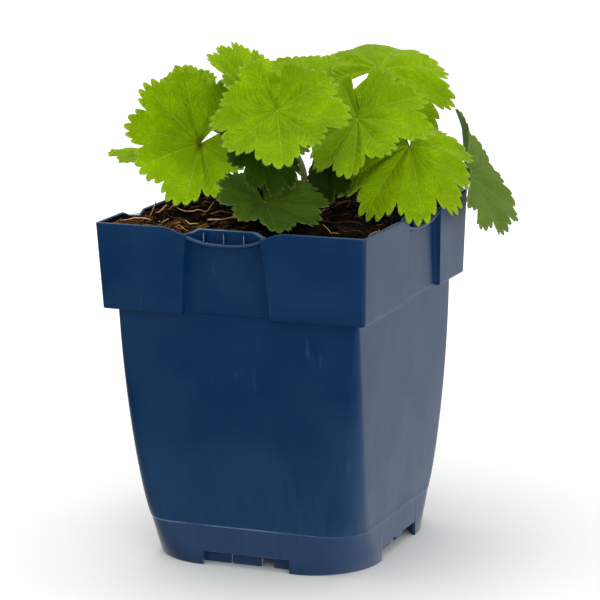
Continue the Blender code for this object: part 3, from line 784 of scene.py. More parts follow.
@dataclass
class Pot:
    """The square pot: tapered body, proud collar with recessed panels, label lips and a notched foot."""

    top: float = 133.8
    collar_foot: float = 100.4
    mould_line: float = 16.0
    floor_under: float = 6.0
    floor_thick: float = 1.6
    wall: float = 1.4
    half_top: float = 55.0
    half_collar_foot: float = 53.6
    half_body_top: float = 49.4
    half_mould_line: float = 45.5
    half_base: float = 45.2
    side_bow: float = 0.96
    radius_top: float = 1.6
    radius_body_top: float = 1.8
    radius_mould_line: float = 15.7
    radius_base: float = 26.0
    radius_power: float = 0.57
    radius_least: float = 0.35
    panels: Tuple[Panel, Panel] = (Panel(-2.2, 15.2, 18.2, 3.8, 3.3), Panel(6.9, 17.1, 18.9, 2.8, 1.9))
    panel_draft: float = 0.8
    inside_from: float = 0.9
    rim_dip: float = 2.4
    rim_ease: float = 9.0
    wall_dip: float = 0.7
    wall_rise: float = 4.0
    dips_from: float = 14.0
    dips_full: float = 1.0
    bead: Tuple[Tuple[float, float], ...] = ((-0.9, 0.0), (-0.45, 0.02), (-0.25, 0.07), (-0.05, 0.12),
                                             (0.15, 0.11), (0.35, 0.04), (0.6, 0.0))
    notch_half: float = 18.0
    notch_height: float = 5.5
    notch_clear: float = 2.0
    # pale on the rim's crest, thin and thick parts: partly edge wear, partly painted highlight
    rim_wear_and_highlight_thin: float = 0.75
    rim_wear_and_highlight_thick: float = 0.10
    lip_sag: float = 3.0
    lip_power: float = 2.6
    lip_past: float = 1.0
    lip_root: float = 0.9
    lip_back: float = 0.3
    lip_steps: int = 49
    # the nose's third column is pale edge wear, partly a painted highlight on the rounded nose
    lip_nose: Tuple[Tuple[float, float, float], ...] = (
        (1.1, -1.55, 0.0), (0.55, -1.42, 0.0), (0.2, -1.2, 0.05), (0.0, -0.85, 0.12), (0.0, -0.55, 0.16),
        (0.15, -0.28, 0.12), (0.45, -0.10, 0.05), (0.9, -0.06, 0.0), (1.5, -0.16, 0.0))
    rib_spacing: float = 8.2
    rib_width: float = 0.32
    # pale on the ribs' front edges: partly wear, partly painted highlight
    rib_wear_and_highlight: float = 0.85
    plate_back: float = 3.6
    plate_thick: float = 1.3
    plate_half: float = 3.25
    plates: Tuple[Tuple[float, float], ...] = ((-21.0, -8.2), (-7.4, 4.5), (9.6, 16.9))
    boss_radius: float = 8.0
    boss_top: float = 6.8
    boss_sides: int = 48
    drain_radius: float = 4.5
    drain_place: float = 23.0
    corner_steps: int = 14
    marks_from: float = 30.0
    marks_to: float = 84.0
    notch_marks: int = 20
    notch_step: float = 0.1
    notch_past: float = 0.45
    panel_marks: int = 9
    panel_inner: float = 6.2
    corner_marks: int = 8
    corner_clear: float = 0.3
    inside_edge: Tuple[float, ...] = (5.0, 3.8, 2.6, 1.7, 1.1, 0.85, 0.65, 0.45, 0.25, 0.05)
    outside_edge: Tuple[float, ...] = (0.15, 0.5, 1.6, 3.2, 5.0, 7.0, 9.0)

    def panel(self, side: int, part: float, wider: float = 0.0) -> Tuple[float, float, float]:
        """One side's panel at a height.

        Args:
            side: which side, 0 to 3.
            part: height within the collar, 0 at its foot and 1 at its top.
            wider: added to its half width.
        Returns:
            Its middle along the side, half its width and its depth.
        """
        panel = self.panels[side % 2]
        return (panel.middle, mix(panel.half_foot, panel.half_top, part) + wider,
                mix(panel.deep_foot, panel.deep_top, part))

    def side_marks(self, middle: float, wide: float, straight: float, high: float) -> np.ndarray:
        """Places along one side where the wall has a column of points, blended between two sorted rows:
        near the floor they crowd at the notch's ends, on the collar at the panel's edges.

        Args:
            middle: the panel's middle.
            wide: half the panel's width.
            straight: half the straight part of the side here.
            high: 0 for the row of the foot, 1 for the row of the collar.
        Returns:
            Places from one corner to the other.
        """
        notch, step, beyond = self.notch_half, self.notch_step, self.notch_half + self.notch_past
        low = np.concatenate([(notch - step) * np.linspace(0.0, 1.0, self.notch_marks), [notch + step],
                              mix(beyond, straight, np.linspace(0.0, 1.0, self.corner_marks))])
        low = np.concatenate([-low[:0:-1], low])
        near = np.concatenate([(wide - self.panel_inner) * np.linspace(0.0, 1.0, self.panel_marks)[1:],
                               wide - np.array(self.inside_edge), wide + np.array(self.outside_edge)])
        ends = np.linspace(0.0, 1.0, len(low) // 2 - len(near) + 1)[1:]
        halves = []
        for room in (straight + middle, straight - middle):
            half = np.minimum(near, room - self.corner_clear)
            halves.append(np.concatenate([half, mix(half[-1], room, ends)]))
        upper = np.concatenate([middle - halves[0][::-1], [middle], middle + halves[1]])
        return low * (1.0 - high) + upper * high

    def ring(self, z: float, half: float, radius: float, inward: float, part: float, sunk: float,
             rim: float = 0.0) -> np.ndarray:
        """One round of points: four straight sides with their panels set back, joined by corner arcs.

        Args:
            z: height.
            half: half the outside width.
            radius: outside corner radius.
            inward: how far the ring lies inside the outside.
            part: height within the collar, 0 at its foot and 1 at its top.
            sunk: 1 where the panels are set back, 0 on the plain body.
            rim: 1 on the rim, which dips beside the panels, and less below it.
        Returns:
            Points, counter-clockwise from above.
        """
        reach, bend = half - inward, max(radius - inward, self.radius_least)
        straight = reach - bend
        arc = -pi / 2 + (pi / 2) * np.arange(1, self.corner_steps) / self.corner_steps
        wider = inward if inward > self.inside_from and sunk else 0.0
        sides = []
        for side in range(4):
            middle, wide, deep = self.panel(side, part, wider)
            s = self.side_marks(middle, wide, straight, ease(self.marks_from, self.marks_to, z))
            off = np.abs(s - middle)
            flat = wide - self.panel_draft
            w = reach - sunk * deep * (1.0 - ease(flat, wide, off))
            beside = self.rim_dip * ease(wide + self.rim_ease, wide, off)
            behind = mix(self.wall_dip, self.rim_dip, ease(flat - self.wall_rise, flat, off))
            drop = np.concatenate([rim * np.where(off < wide, behind, beside), np.zeros(len(arc))])
            x = np.concatenate([s, straight + bend * np.cos(arc)])
            w = np.concatenate([w, straight - bend * np.sin(arc)])
            along, out = side_axes(side)
            sides.append(x[:, None] * along + w[:, None] * out + (z - drop)[:, None] * UP)
        return np.concatenate(sides)

    def body_ring(self, z: float, inward: float, proud: float = 0.0) -> np.ndarray:
        """A ring of the wall below the collar: corners grow rounder towards the foot.

        Args:
            z: height.
            inward: how far inside the outside.
            proud: how far the wall stands out.
        Returns:
            Points of the ring.
        """
        if z < self.mould_line:
            part = z / self.mould_line
            half = mix(self.half_base, self.half_mould_line, part)
            radius = mix(self.radius_base, self.radius_mould_line, part)
        else:
            part = (z - self.mould_line) / (self.collar_foot - self.mould_line)
            half = mix(self.half_mould_line, self.half_body_top, part)
            half += self.side_bow * 4.0 * part * (1.0 - part)
            radius = mix(self.radius_mould_line, self.radius_body_top, part ** self.radius_power)
        return self.ring(z, half + proud, radius, inward, 0.0, 0.0)

    def collar_ring(self, z: float, inward: float, rim: float = 0.0) -> np.ndarray:
        """A ring of the collar, whose corners stand proud of its panels.

        Args:
            z: height.
            inward: how far inside the outside.
            rim: how much of the rim's dips it takes.
        Returns:
            Points of the ring.
        """
        part = (z - self.collar_foot) / (self.top - self.collar_foot)
        half = mix(self.half_collar_foot, self.half_top, part)
        return self.ring(z, half, self.radius_top, inward, part, 1.0, rim)

    def dipped_ring(self, z: float, inward: float) -> np.ndarray:
        """A ring of the collar that takes none of the rim's dips low down and all of them near the rim."""
        return self.collar_ring(z, inward, ease(self.top - self.dips_from, self.top - self.dips_full, z))

    def foot_ring(self, z: float, inward: float) -> np.ndarray:
        """A ring at the foot, whose lower edge rises over the notch in each side.

        Args:
            z: height away from the notches.
            inward: how far inside the outside.
        Returns:
            Points of the ring.
        """
        ring = self.body_ring(z, inward)
        x, y = np.abs(ring[:, 0]), np.abs(ring[:, 1])
        on_side = np.maximum(x, y) > self.half_base - inward - self.notch_clear
        over_notch = on_side & (np.minimum(x, y) < self.notch_half)
        ring[:, 2] += self.notch_height * (1.0 - z / self.mould_line) * np.where(over_notch, 1.0, 0.0)
        return ring

    def wall_skin(self) -> Skin:
        """The wall: from the foot's inside round its edge, up the outside, over the rim and down the inside.

        Returns:
            The wall, with its pale worn edges marked, partly as painted highlight, and its inside, painted
            dark as shade, in the second slot.
        """
        t, edge, line, floor = self.wall, self.collar_foot, self.mould_line, self.floor_under
        foot = ((floor, t), (0.35, t), (0.05, t - 0.25), (0.05, 0.25), (0.35, 0.0), (6.0, 0.0))
        step = ((0.02, 0.55), (0.12, 0.2), (0.40, 0.0))
        crest = ((0.35, 0.0), (0.1, 0.12), (0.0, 0.4), (0.0, t - 0.4), (0.1, t - 0.12), (0.4, t))
        rows = [self.foot_ring(z, inward) for z, inward in foot]
        rows[0][:, 2] = floor
        rows += [self.body_ring(line + rise, 0.0, proud) for rise, proud in self.bead]
        rows += [self.body_ring(z, 0.0) for z in np.linspace(line + 3.0, edge - 0.35, 22)]
        rows += [self.body_ring(edge - 0.04, -0.12)]
        rows += [self.collar_ring(edge + rise, inward) for rise, inward in step]
        rows += [self.dipped_ring(z, 0.0) for z in np.linspace(edge + 1.5, self.top - 1.0, 10)]
        rim = len(rows) + len(crest) // 2
        rows += [self.collar_ring(self.top - fall, inward, 1.0) for fall, inward in crest]
        rows += [self.dipped_ring(z, t) for z in np.linspace(self.top - 2.0, edge + 0.4 + t, 8)]
        rows += [self.body_ring(z, t) for z in np.linspace(edge, floor + self.floor_thick, 12)]
        grid = np.stack(rows)
        count, columns = grid.shape[:2]
        # the rim's crest is marked pale: partly edge wear, partly painted highlight
        on_crest = np.abs(np.arange(count) - rim)[:, None] <= 2
        thin = np.maximum(np.abs(grid[..., 0]), np.abs(grid[..., 1])) < self.half_top - t - 0.3
        worn = np.where(on_crest, np.where(thin, self.rim_wear_and_highlight_thin, self.rim_wear_and_highlight_thick), 0.0)
        # faces of the inside take the finish painted dark as shade
        inside = np.repeat(np.arange(count - 1) > rim + 1, columns).astype(int)
        quads = between_rows(count, columns, True)
        return Skin(grid.reshape(-1, 3), [quads], {"worn": worn.reshape(-1)}, inside)

    def floor_skin(self) -> Skin:
        """The floor in four quarters, each blended from its own outline to its drain, both faces.

        Returns:
            The floor, open only where it meets the wall.
        """
        over = self.floor_under + self.floor_thick
        low, high = self.foot_ring(self.floor_under, self.wall), self.body_ring(over, self.wall)
        quarter = len(low) // 4
        start = (quarter - self.corner_steps + 1) // 2
        share = np.linspace(0.0, 1.0, 6)[:, None, None]
        spoke_steps = np.linspace(0.0, 1.0, 13)[1:, None]
        skins = []
        for side in range(4):
            take = (side * quarter + start + np.arange(quarter + 1)) % len(low)
            turn = side * pi / 2 - pi / 4
            centre = np.array([cos(turn), sin(turn)]) * self.drain_place * 2 ** 0.5
            grids = []
            for ring, z in ((low, self.floor_under), (high, over)):
                rim = ring[take][:, :2]
                outline = np.concatenate([rim, rim[-1] * (1.0 - spoke_steps), rim[0] * spoke_steps[:-1]])
                hole = centre + unit(outline - centre) * self.drain_radius
                flat = outline * (1.0 - share) + hole * share
                grids.append(np.concatenate([flat, np.full(flat.shape[:2] + (1,), z)], axis=-1))
            columns = len(outline)
            under, upper = grids
            drain = np.concatenate([upper[-1], under[-1]])
            quads = between_rows(len(share), columns, True)
            skins += [Skin(under.reshape(-1, 3), [quads[:, ::-1]]),
                      Skin(drain, [between_rows(2, columns, True)]),
                      Skin(upper.reshape(-1, 3), [quads])]
        return reduce(Skin.joined, skins)

    def lip_skin(self, side: int) -> Skin:
        """The sagging shelf over a panel: a round-nosed bar that hangs lower in its middle, and three webs.

        Args:
            side: which side of the pot, 0 to 3.
        Returns:
            The shelf and its webs.
        """
        along, out = side_axes(side)
        middle, wide, deep = self.panel(side, 1.0)
        half = wide + self.lip_past
        s = np.linspace(-half, half, self.lip_steps)
        top = self.top - self.rim_dip - self.lip_sag * (1.0 - np.abs(s / half) ** self.lip_power)
        back, nose = self.half_top - deep - self.lip_root, self.half_top - self.lip_back
        section = np.array([(back, -0.35, 0.0), (back, -2.2, 0.0)]
                           + [(nose - inward, fall, worn) for inward, fall, worn in self.lip_nose])
        points = ((middle + s)[:, None, None] * along + section[None, :, 0, None] * out
                  + (top[:, None] + section[None, :, 1])[..., None] * UP)
        skins = [drums(points[None], {"worn": np.tile(section[:, 2], len(s))}, flip=True)]
        low, high = self.top - self.rim_dip - self.lip_sag - 1.0, self.top - self.wall_dip - 1.0
        for number in (-1, 0, 1):
            place = along * (middle + number * self.rib_spacing) + out * (self.half_top - 1.1 - 0.5 * deep)
            rib = soft_block(place + UP * 0.5 * (low + high), along, out,
                             (self.rib_width / 2, 0.5 * deep - 0.3, 0.5 * (high - low)))
            # pale on each rib's front edge: partly wear, partly painted highlight
            ahead = rib.points @ out
            rib.marks["worn"] = self.rib_wear_and_highlight * ease(ahead.max() - 0.25, ahead.max() - 0.02, ahead)
            skins.append(rib)
        return reduce(Skin.joined, skins)

    def foot_skin(self) -> Skin:
        """The set-back plates behind the notches, and the round boss that the pot stands on.

        Returns:
            The plates and the boss.
        """
        skins = []
        back = self.half_base - self.wall - self.plate_back - self.plate_thick / 2
        for side in range(4):
            along, out = side_axes(side)
            for left, right in self.plates:
                middle = along * 0.5 * (left + right) + out * back + UP * (self.plate_half + 0.1)
                half = (0.5 * (right - left), self.plate_thick / 2, self.plate_half)
                skins.append(soft_block(middle, along, out, half))
        turn = 2.0 * pi * np.arange(self.boss_sides) / self.boss_sides
        radius = self.boss_radius
        section = ((0.02, 0.0), (radius - 0.4, 0.0), (radius - 0.1, 0.1), (radius, 0.4),
                   (radius, self.boss_top - 0.2), (0.02, self.boss_top))
        rings = [np.stack([r * np.cos(turn), r * np.sin(turn), np.full_like(turn, z)], axis=-1)
                 for r, z in section]
        return reduce(Skin.joined, skins + [drums(np.stack(rings)[None])])

    def build(self) -> bpy.types.Object:
        """Moulds the pot in one piece and dresses it.

        Returns:
            The pot.
        """
        lips = [self.lip_skin(side) for side in range(4)]
        skin = reduce(Skin.joined, [self.wall_skin(), self.floor_skin(), self.foot_skin()] + lips)
        # the second finish is for the inside, painted dark as shade
        finishes = [PotPlastic().make(), PotPlastic().make(shaded_inside=True)]
        return skin.piece("pot_moulding", finishes, Slot.POT, ["pot"], sharp=50.0)


@dataclass(frozen=True)
class LongStraw:
    """A long pale straw on the compost: its near end, length, heading in degrees, height over the compost,
    how much further its far end lifts, its radius and its tint."""

    x: float
    y: float
    length: float
    heading: float
    height: float
    lift: float
    radius: float
    tint: float


@dataclass
class Compost:
    """The peat root ball with crumbs and straw fibres lying on it."""

    pot: Pot
    edge: float = 129.6
    mound: float = 6.0
    half: float = 53.0
    gap: float = 1.7
    clear_crumb: float = 51.6
    clear_fibre: float = 51.7
    clear_panel: float = 48.4
    panel_half: float = 27.0
    drift_left: float = -50.5
    drift_long: float = 52.0
    drift_front: float = -51.6
    drift_deep: float = 13.0
    drift_high: float = 2.3
    crumbs: int = 1500
    fibres: int = 440
    chaff: int = 420
    steps: int = 8
    straws: Tuple[LongStraw, ...] = (
        LongStraw(-48.4, -46.6, 12.8, 8.0, 2.1, 0.3, 0.22, 1.00),
        LongStraw(-41.0, -36.8, 3.4, -7.0, 0.8, 6.0, 0.20, 0.94),
        LongStraw(-41.3, -35.6, 5.2, -23.0, 1.6, 6.2, 0.16, 0.88),
        LongStraw(-39.3, -34.2, 4.4, 11.0, 1.2, 2.2, 0.36, 0.92),
        LongStraw(-35.4, -32.0, 6.8, 17.0, 0.8, 4.4, 0.16, 0.90),
        LongStraw(-29.9, -35.1, 12.2, -4.0, 3.0, -1.2, 0.15, 0.97),
        LongStraw(-23.5, -42.0, 7.4, -21.0, 1.6, -0.4, 0.20, 1.00),
        LongStraw(-15.2, -39.8, 6.0, -11.0, 2.0, -0.2, 0.40, 0.92),
        LongStraw(-19.4, -33.2, 5.4, -21.0, 1.4, 4.4, 0.18, 0.90),
        LongStraw(-12.7, -38.9, 11.0, 6.0, 1.6, 0.6, 0.26, 0.88),
        LongStraw(30.5, -37.0, 16.0, -45.0, 0.8, 0.4, 0.17, 0.90),
        LongStraw(50.0, -40.0, 15.0, 92.0, 1.0, 0.2, 0.17, 0.93))

    def height(self, x: Number, y: Number) -> Number:
        """Height of the compost: a mound that falls with the square of the distance, and slow waves.

        Args:
            x: places across.
            y: places along.
        Returns:
            The height at each place.
        """
        far = np.maximum(np.abs(x), np.abs(y)) / self.half
        rise = self.edge + self.mound * np.maximum(0.0, 1.0 - far * far)
        broad = 0.9 * np.sin(0.11 * x + 1.3) * np.cos(0.13 * y + 0.4)
        fine = 0.55 * np.sin(0.43 * x - 0.29 * y) + 0.4 * np.sin(0.71 * y + 0.37 * x + 2.0)
        return rise + broad + fine

    def rough_height(self, x: np.ndarray, y: np.ndarray) -> np.ndarray:
        """The compost's height with lumps, pits and grains of three sizes added, gentler beside the wall.

        Args:
            x: places across.
            y: places along.
        Returns:
            The height at each place.
        """
        flat = np.stack([x, y, np.zeros_like(x)], axis=-1)
        lumps = (1.1 * np.abs(uneven(flat, 6.5, 3.0)) + 0.75 * uneven(flat, 2.9, 5.0)
                 + 0.40 * uneven(flat, 1.3, 7.0))
        inside = ease(self.half, self.half - 6.0, np.maximum(np.abs(x), np.abs(y)))
        return self.height(x, y) - 0.25 + lumps * (0.45 + 0.55 * inside)

    def ball(self) -> Skin:
        """The root ball: up the pot's inside, then inwards over the rough top to the middle.

        Returns:
            The ball as a closed skin.
        """
        pot, gap = self.pot, self.gap
        floor = pot.floor_under + pot.floor_thick + 0.3
        rows = [pot.body_ring(z, gap) for z in (floor, 16.0, 40.0, 70.0, pot.collar_foot + 0.1)]
        rows += [pot.collar_ring(z, gap) for z in (pot.collar_foot + 0.65 + gap, self.edge - 3.0)]
        outline = pot.collar_ring(self.edge, gap)[:, :2]
        turn = np.arctan2(outline[:, 1], outline[:, 0])
        circle = self.half * np.stack([np.cos(turn), np.sin(turn)], axis=-1)
        for part in np.concatenate([[1.0, 0.985, 0.965], np.linspace(0.94, 0.02, 64)]):
            rounder = ease(1.0, 0.35, part) * 0.9
            flat = (outline * (1.0 - rounder) + circle * rounder) * part
            rows.append(np.column_stack([flat, self.rough_height(flat[:, 0], flat[:, 1])]))
        return drums(np.stack(rows)[None])

    def scatter(self, number: int, seed: float) -> Tuple[np.ndarray, np.ndarray]:
        """Places scattered evenly over the compost, clear of the pot's wall.

        Args:
            number: how many.
            seed: which scatter.
        Returns:
            The places' x and y.
        """
        reach = self.half - 1.0
        x, y = [2.0 * reach * chance(series, np.arange(number)) - reach for series in (seed, seed + 1.0)]
        beside = np.minimum(np.abs(x), np.abs(y)) < self.panel_half
        most = np.where(beside, self.clear_panel, self.clear_crumb)
        shrink = np.minimum(1.0, most / np.maximum(np.maximum(np.abs(x), np.abs(y)), 1.0))
        return x * shrink, y * shrink

    def crumb_skin(self) -> Skin:
        """Crumbs: twenty-faced balls, each pulled out of round, half sunk into the surface.

        Returns:
            All the crumbs as one skin.
        """
        golden = (1.0 + 5.0 ** 0.5) / 2.0
        corner = unit(np.array([place for a in (-1.0, 1.0) for b in (-golden, golden)
                                for place in ((0.0, a, b), (a, b, 0.0), (b, 0.0, a))]))
        near = np.linalg.norm(corner[:, None] - corner[None], axis=-1) < 1.1
        faces = np.array([(i, j, k) for i in range(12) for j in range(i + 1, 12) for k in range(j + 1, 12)
                          if near[i, j] and near[j, k] and near[i, k]])
        a, b, c = (corner[faces[:, n]] for n in range(3))
        inward = np.sum(np.cross(b - a, c - a) * a, axis=1) <= 0
        faces[inward] = faces[inward][:, [0, 2, 1]]
        order = np.arange(self.crumbs)
        x, y = self.scatter(self.crumbs, 21.0)
        size = 0.35 + 1.15 * chance(23.0, order) ** 3
        pull = 0.65 + 0.7 * chance(25.0, np.arange(self.crumbs * 12).reshape(-1, 12, 1))
        stretch = 0.7 + 0.6 * chance(27.0, np.arange(self.crumbs * 3).reshape(-1, 1, 3))
        middle = np.stack([x, y, self.rough_height(x, y) + 0.25 * size], axis=-1)
        points = middle[:, None] + corner * pull * stretch * size[:, None, None]
        return Skin(points.reshape(-1, 3), [(faces[None] + 12 * order[:, None, None]).reshape(-1, 3)])

    def laid(self, place: Sequence[np.ndarray], heading: np.ndarray, length: np.ndarray, bend: np.ndarray,
             rise: Sequence[np.ndarray], wide: np.ndarray, tint: np.ndarray) -> Skin:
        """Fibres laid on the compost: arcs of even bend over its rough height, kept off the pot's wall.

        Args:
            place: x and y of each fibre's middle.
            heading: direction at its middle, in radians.
            length: its length.
            bend: how far it turns from end to end, in radians.
            rise: how high it lies over the compost, and how much further its far end lifts.
            wide: radius at its middle.
            tint: its shade, 0 dark to 1 pale.
        Returns:
            The fibres as closed tubes, thin towards both ends.
        """
        t = np.linspace(-0.5, 0.5, self.steps)[None, :]
        angle = heading[:, None] + bend[:, None] * t
        most = self.clear_fibre
        flat = []
        for start, way in zip(place, (np.cos(angle), np.sin(angle))):
            run = np.cumsum(way * (length[:, None] / (self.steps - 1.0)), axis=1)
            flat.append(np.clip(start[:, None] + run - run.mean(axis=1, keepdims=True), -most, most))
        away = np.abs(np.stack(flat))
        panel = (away.min(axis=0) < self.panel_half - 1.0) & (away.max(axis=0) > self.clear_panel)
        x, y = [np.where(panel & (off > self.clear_panel), np.sign(v) * self.clear_panel, v)
                for v, off in zip(flat, away)]
        lie = self.rough_height(x, y)
        lie = 0.5 * lie + 0.5 * lie.max(axis=1, keepdims=True)
        lift = rise[0][:, None] + rise[1][:, None] * (t + 0.5) ** 1.3
        sway = np.minimum(0.4, 0.03 * length)[:, None] * np.sin(6.0 * t + heading[:, None])
        path = np.stack([x, y, lie + 0.15 + lift + sway], axis=-1)
        gap = np.linalg.norm(np.diff(path, axis=1), axis=-1)
        path[:, 1:, 2] += np.where(gap < 0.05, 0.08, 0.0) * np.arange(1, self.steps)
        radii = wide[:, None] * (0.35 + 0.65 * np.sqrt(np.maximum(0.0, 1.0 - (2.0 * t) ** 2)))
        skin = tubes(path, radii, 4, np.array([0.02, 0.03, 1.0]))
        skin.marks["tint"] = np.repeat(tint, len(skin.points) // len(tint))
        return skin

    def fibre_skin(self) -> Skin:
        """Fibres scattered all over, a few of their ends lifting.

        Returns:
            The fibres as one skin.
        """
        order = np.arange(self.fibres)
        rise = (np.zeros(self.fibres), chance(49.0, order) ** 3 * 3.8)
        return self.laid(place=self.scatter(self.fibres, 41.0), heading=2.0 * pi * chance(43.0, order),
                         length=5.0 + 17.0 * chance(45.0, order) ** 1.6,
                         bend=(chance(47.0, order) - 0.5) ** 3 * 14.0, rise=rise,
                         wide=0.07 + 0.20 * chance(51.0, order) ** 2.5, tint=chance(53.0, order) ** 2.2)

    def chaff_skin(self) -> Skin:
        """A drift of short orange-brown chaff along the front rim, thickest at its left.

        Returns:
            The chaff as one skin.
        """
        order = np.arange(self.chaff)
        x = self.drift_left + self.drift_long * chance(81.0, order) ** 1.5
        y = self.drift_front + self.drift_deep * chance(82.0, order) ** 1.8
        near = ease(-36.0, -50.0, y) * ease(6.0, -14.0, x)
        rise = (self.drift_high * chance(83.0, order) * near, 0.9 * chance(84.0, order) ** 2)
        return self.laid(place=(x, y), heading=0.15 + 2.6 * (chance(85.0, order) - 0.5),
                         length=2.0 + 4.4 * chance(86.0, order) ** 2, bend=1.2 * (chance(87.0, order) - 0.5),
                         rise=rise, wide=0.06 + 0.12 * chance(88.0, order) ** 2,
                         tint=0.30 + 0.62 * chance(89.0, order))

    def straw_skin(self) -> Skin:
        """The long pale straws, each laid from its near end along its heading.

        Returns:
            The straws as one skin.
        """
        table = np.array([astuple(straw) for straw in self.straws])
        x, y, length, heading, height, lift, radius, tint = table.T
        heading, half = np.radians(heading), 0.5 * length
        bend = 0.5 * (chance(91.0, np.arange(len(x))) - 0.5)
        return self.laid(place=(x + half * np.cos(heading), y + half * np.sin(heading)), heading=heading,
                         length=length, bend=bend, rise=(height, lift), wide=radius, tint=tint)

    def build(self) -> None:
        """Fills the pot."""
        peat = Peat().make()
        self.ball().piece("compost_ball", [peat], Slot.COMPOST, ["soil"])
        self.crumb_skin().piece("compost_crumbs", [peat], Slot.COMPOST, [], sharp=40.0)
        fibres = self.fibre_skin().joined(self.chaff_skin().joined(self.straw_skin()))
        fibres.piece("compost_fibres", [Straw().make()], Slot.COMPOST, [])


@dataclass
class Rootstock:
    """The knobbly woody crown with torn papery sheaths round it."""

    x: float = 6.0
    y: float = 10.0
    radius: float = 4.6
    sunk: float = 8.0
    rise: float = 4.5
    rounds: int = 26
    corners: int = 40
    sheaths: int = 16

    def knob(self, ground: float) -> Skin:
        """The crown: rings whose radius closes at the top and swells in knobs.

        Args:
            ground: height of the compost here.
        Returns:
            The crown as a closed skin.
        """
        up = np.linspace(0.0, 1.0, self.rounds)[:, None]
        turn = 2.0 * pi * np.arange(self.corners)[None, :] / self.corners
        dome = np.sqrt(np.clip(1.0 - np.clip((up - 0.55) / 0.47, 0.0, 1.0) ** 2.4, 0.0, 1.0))
        swell = (1.0 + 0.09 * np.sin(3.0 * turn + 9.0 * up) * ease(0.3, 0.6, up)
                 + 0.03 * np.sin(11.0 * turn + 4.0 * up))
        radius = self.radius * np.maximum(dome * (0.92 + 0.08 * up), 0.04) * swell
        z = ground - self.sunk + (self.sunk + self.rise) * up + np.zeros_like(turn)
        grid = np.stack([self.x + radius * np.cos(turn), self.y + radius * np.sin(turn), z], axis=-1)
        return drums(grid[None])

    def build(self, compost: Compost) -> None:
        """Sets the crown in the compost and stands pointed sheaths round it.

        Args:
            compost: what it stands in.
        """
        ground = compost.height(self.x, self.y)
        order = np.arange(self.sheaths)
        angle = (2.0 * pi * (order + 0.4 * chance(61.0, order)) / self.sheaths)[:, None]
        t = np.linspace(0.0, 1.0, 8)[None, :]
        off = self.radius + 0.3 + (0.4 + 1.6 * chance(63.0, order))[:, None] * t ** 1.5
        tall = (5.0 + 5.0 * chance(65.0, order))[:, None]
        path = np.stack([self.x + off * np.cos(angle), self.y + off * np.sin(angle), ground - 2.0 + tall * t],
                        axis=-1)
        around = np.stack([-np.sin(angle), np.cos(angle), np.zeros_like(angle)], axis=-1)
        radii = 0.9 * (1.0 - 0.8 * t ** 1.5) * np.ones((self.sheaths, 1))
        skin = self.knob(ground).joined(tubes(path, radii, 6, around))
        skin.piece("rootstock", [Bark().make()], Slot.CROWN, ["crown"])


def sheet_faces(rows: int, columns: int) -> Tuple[List[np.ndarray], List[np.ndarray]]:
    """Faces that close a blade. Its points are the upper sheet by rows of columns from the stalk outwards,
    then the under sheet, then the upper and the under point over the stalk.

    Args:
        rows: rows of each sheet.
        columns: points in a row.
    Returns:
        The faces of the upper finish, with the rim and the edges of the gap at the stalk, and the under ones.
    """
    count = rows * columns
    tip, root = 2 * count, 2 * count + 1
    sheet = between_rows(rows, columns, False)
    i = np.arange(columns - 1)
    outer = (rows - 1) * columns + i
    rim = np.stack([outer, count + outer, count + outer + 1, outer + 1], axis=-1)
    j = np.arange(rows - 1) * columns
    first = np.stack([j, count + j, count + j + columns, j + columns], axis=-1)
    end = j + columns - 1
    last = np.stack([end, end + columns, count + end + columns, count + end], axis=-1)
    inner = np.array([[tip, root, count, 0], [tip, columns - 1, count + columns - 1, root]])
    fan = np.stack([np.full(columns - 1, tip), i, i + 1], axis=-1)
    fan_under = np.stack([np.full(columns - 1, root), count + i + 1, count + i], axis=-1)
    return [sheet[:, ::-1], rim, first, last, inner, fan], [sheet + count, fan_under]


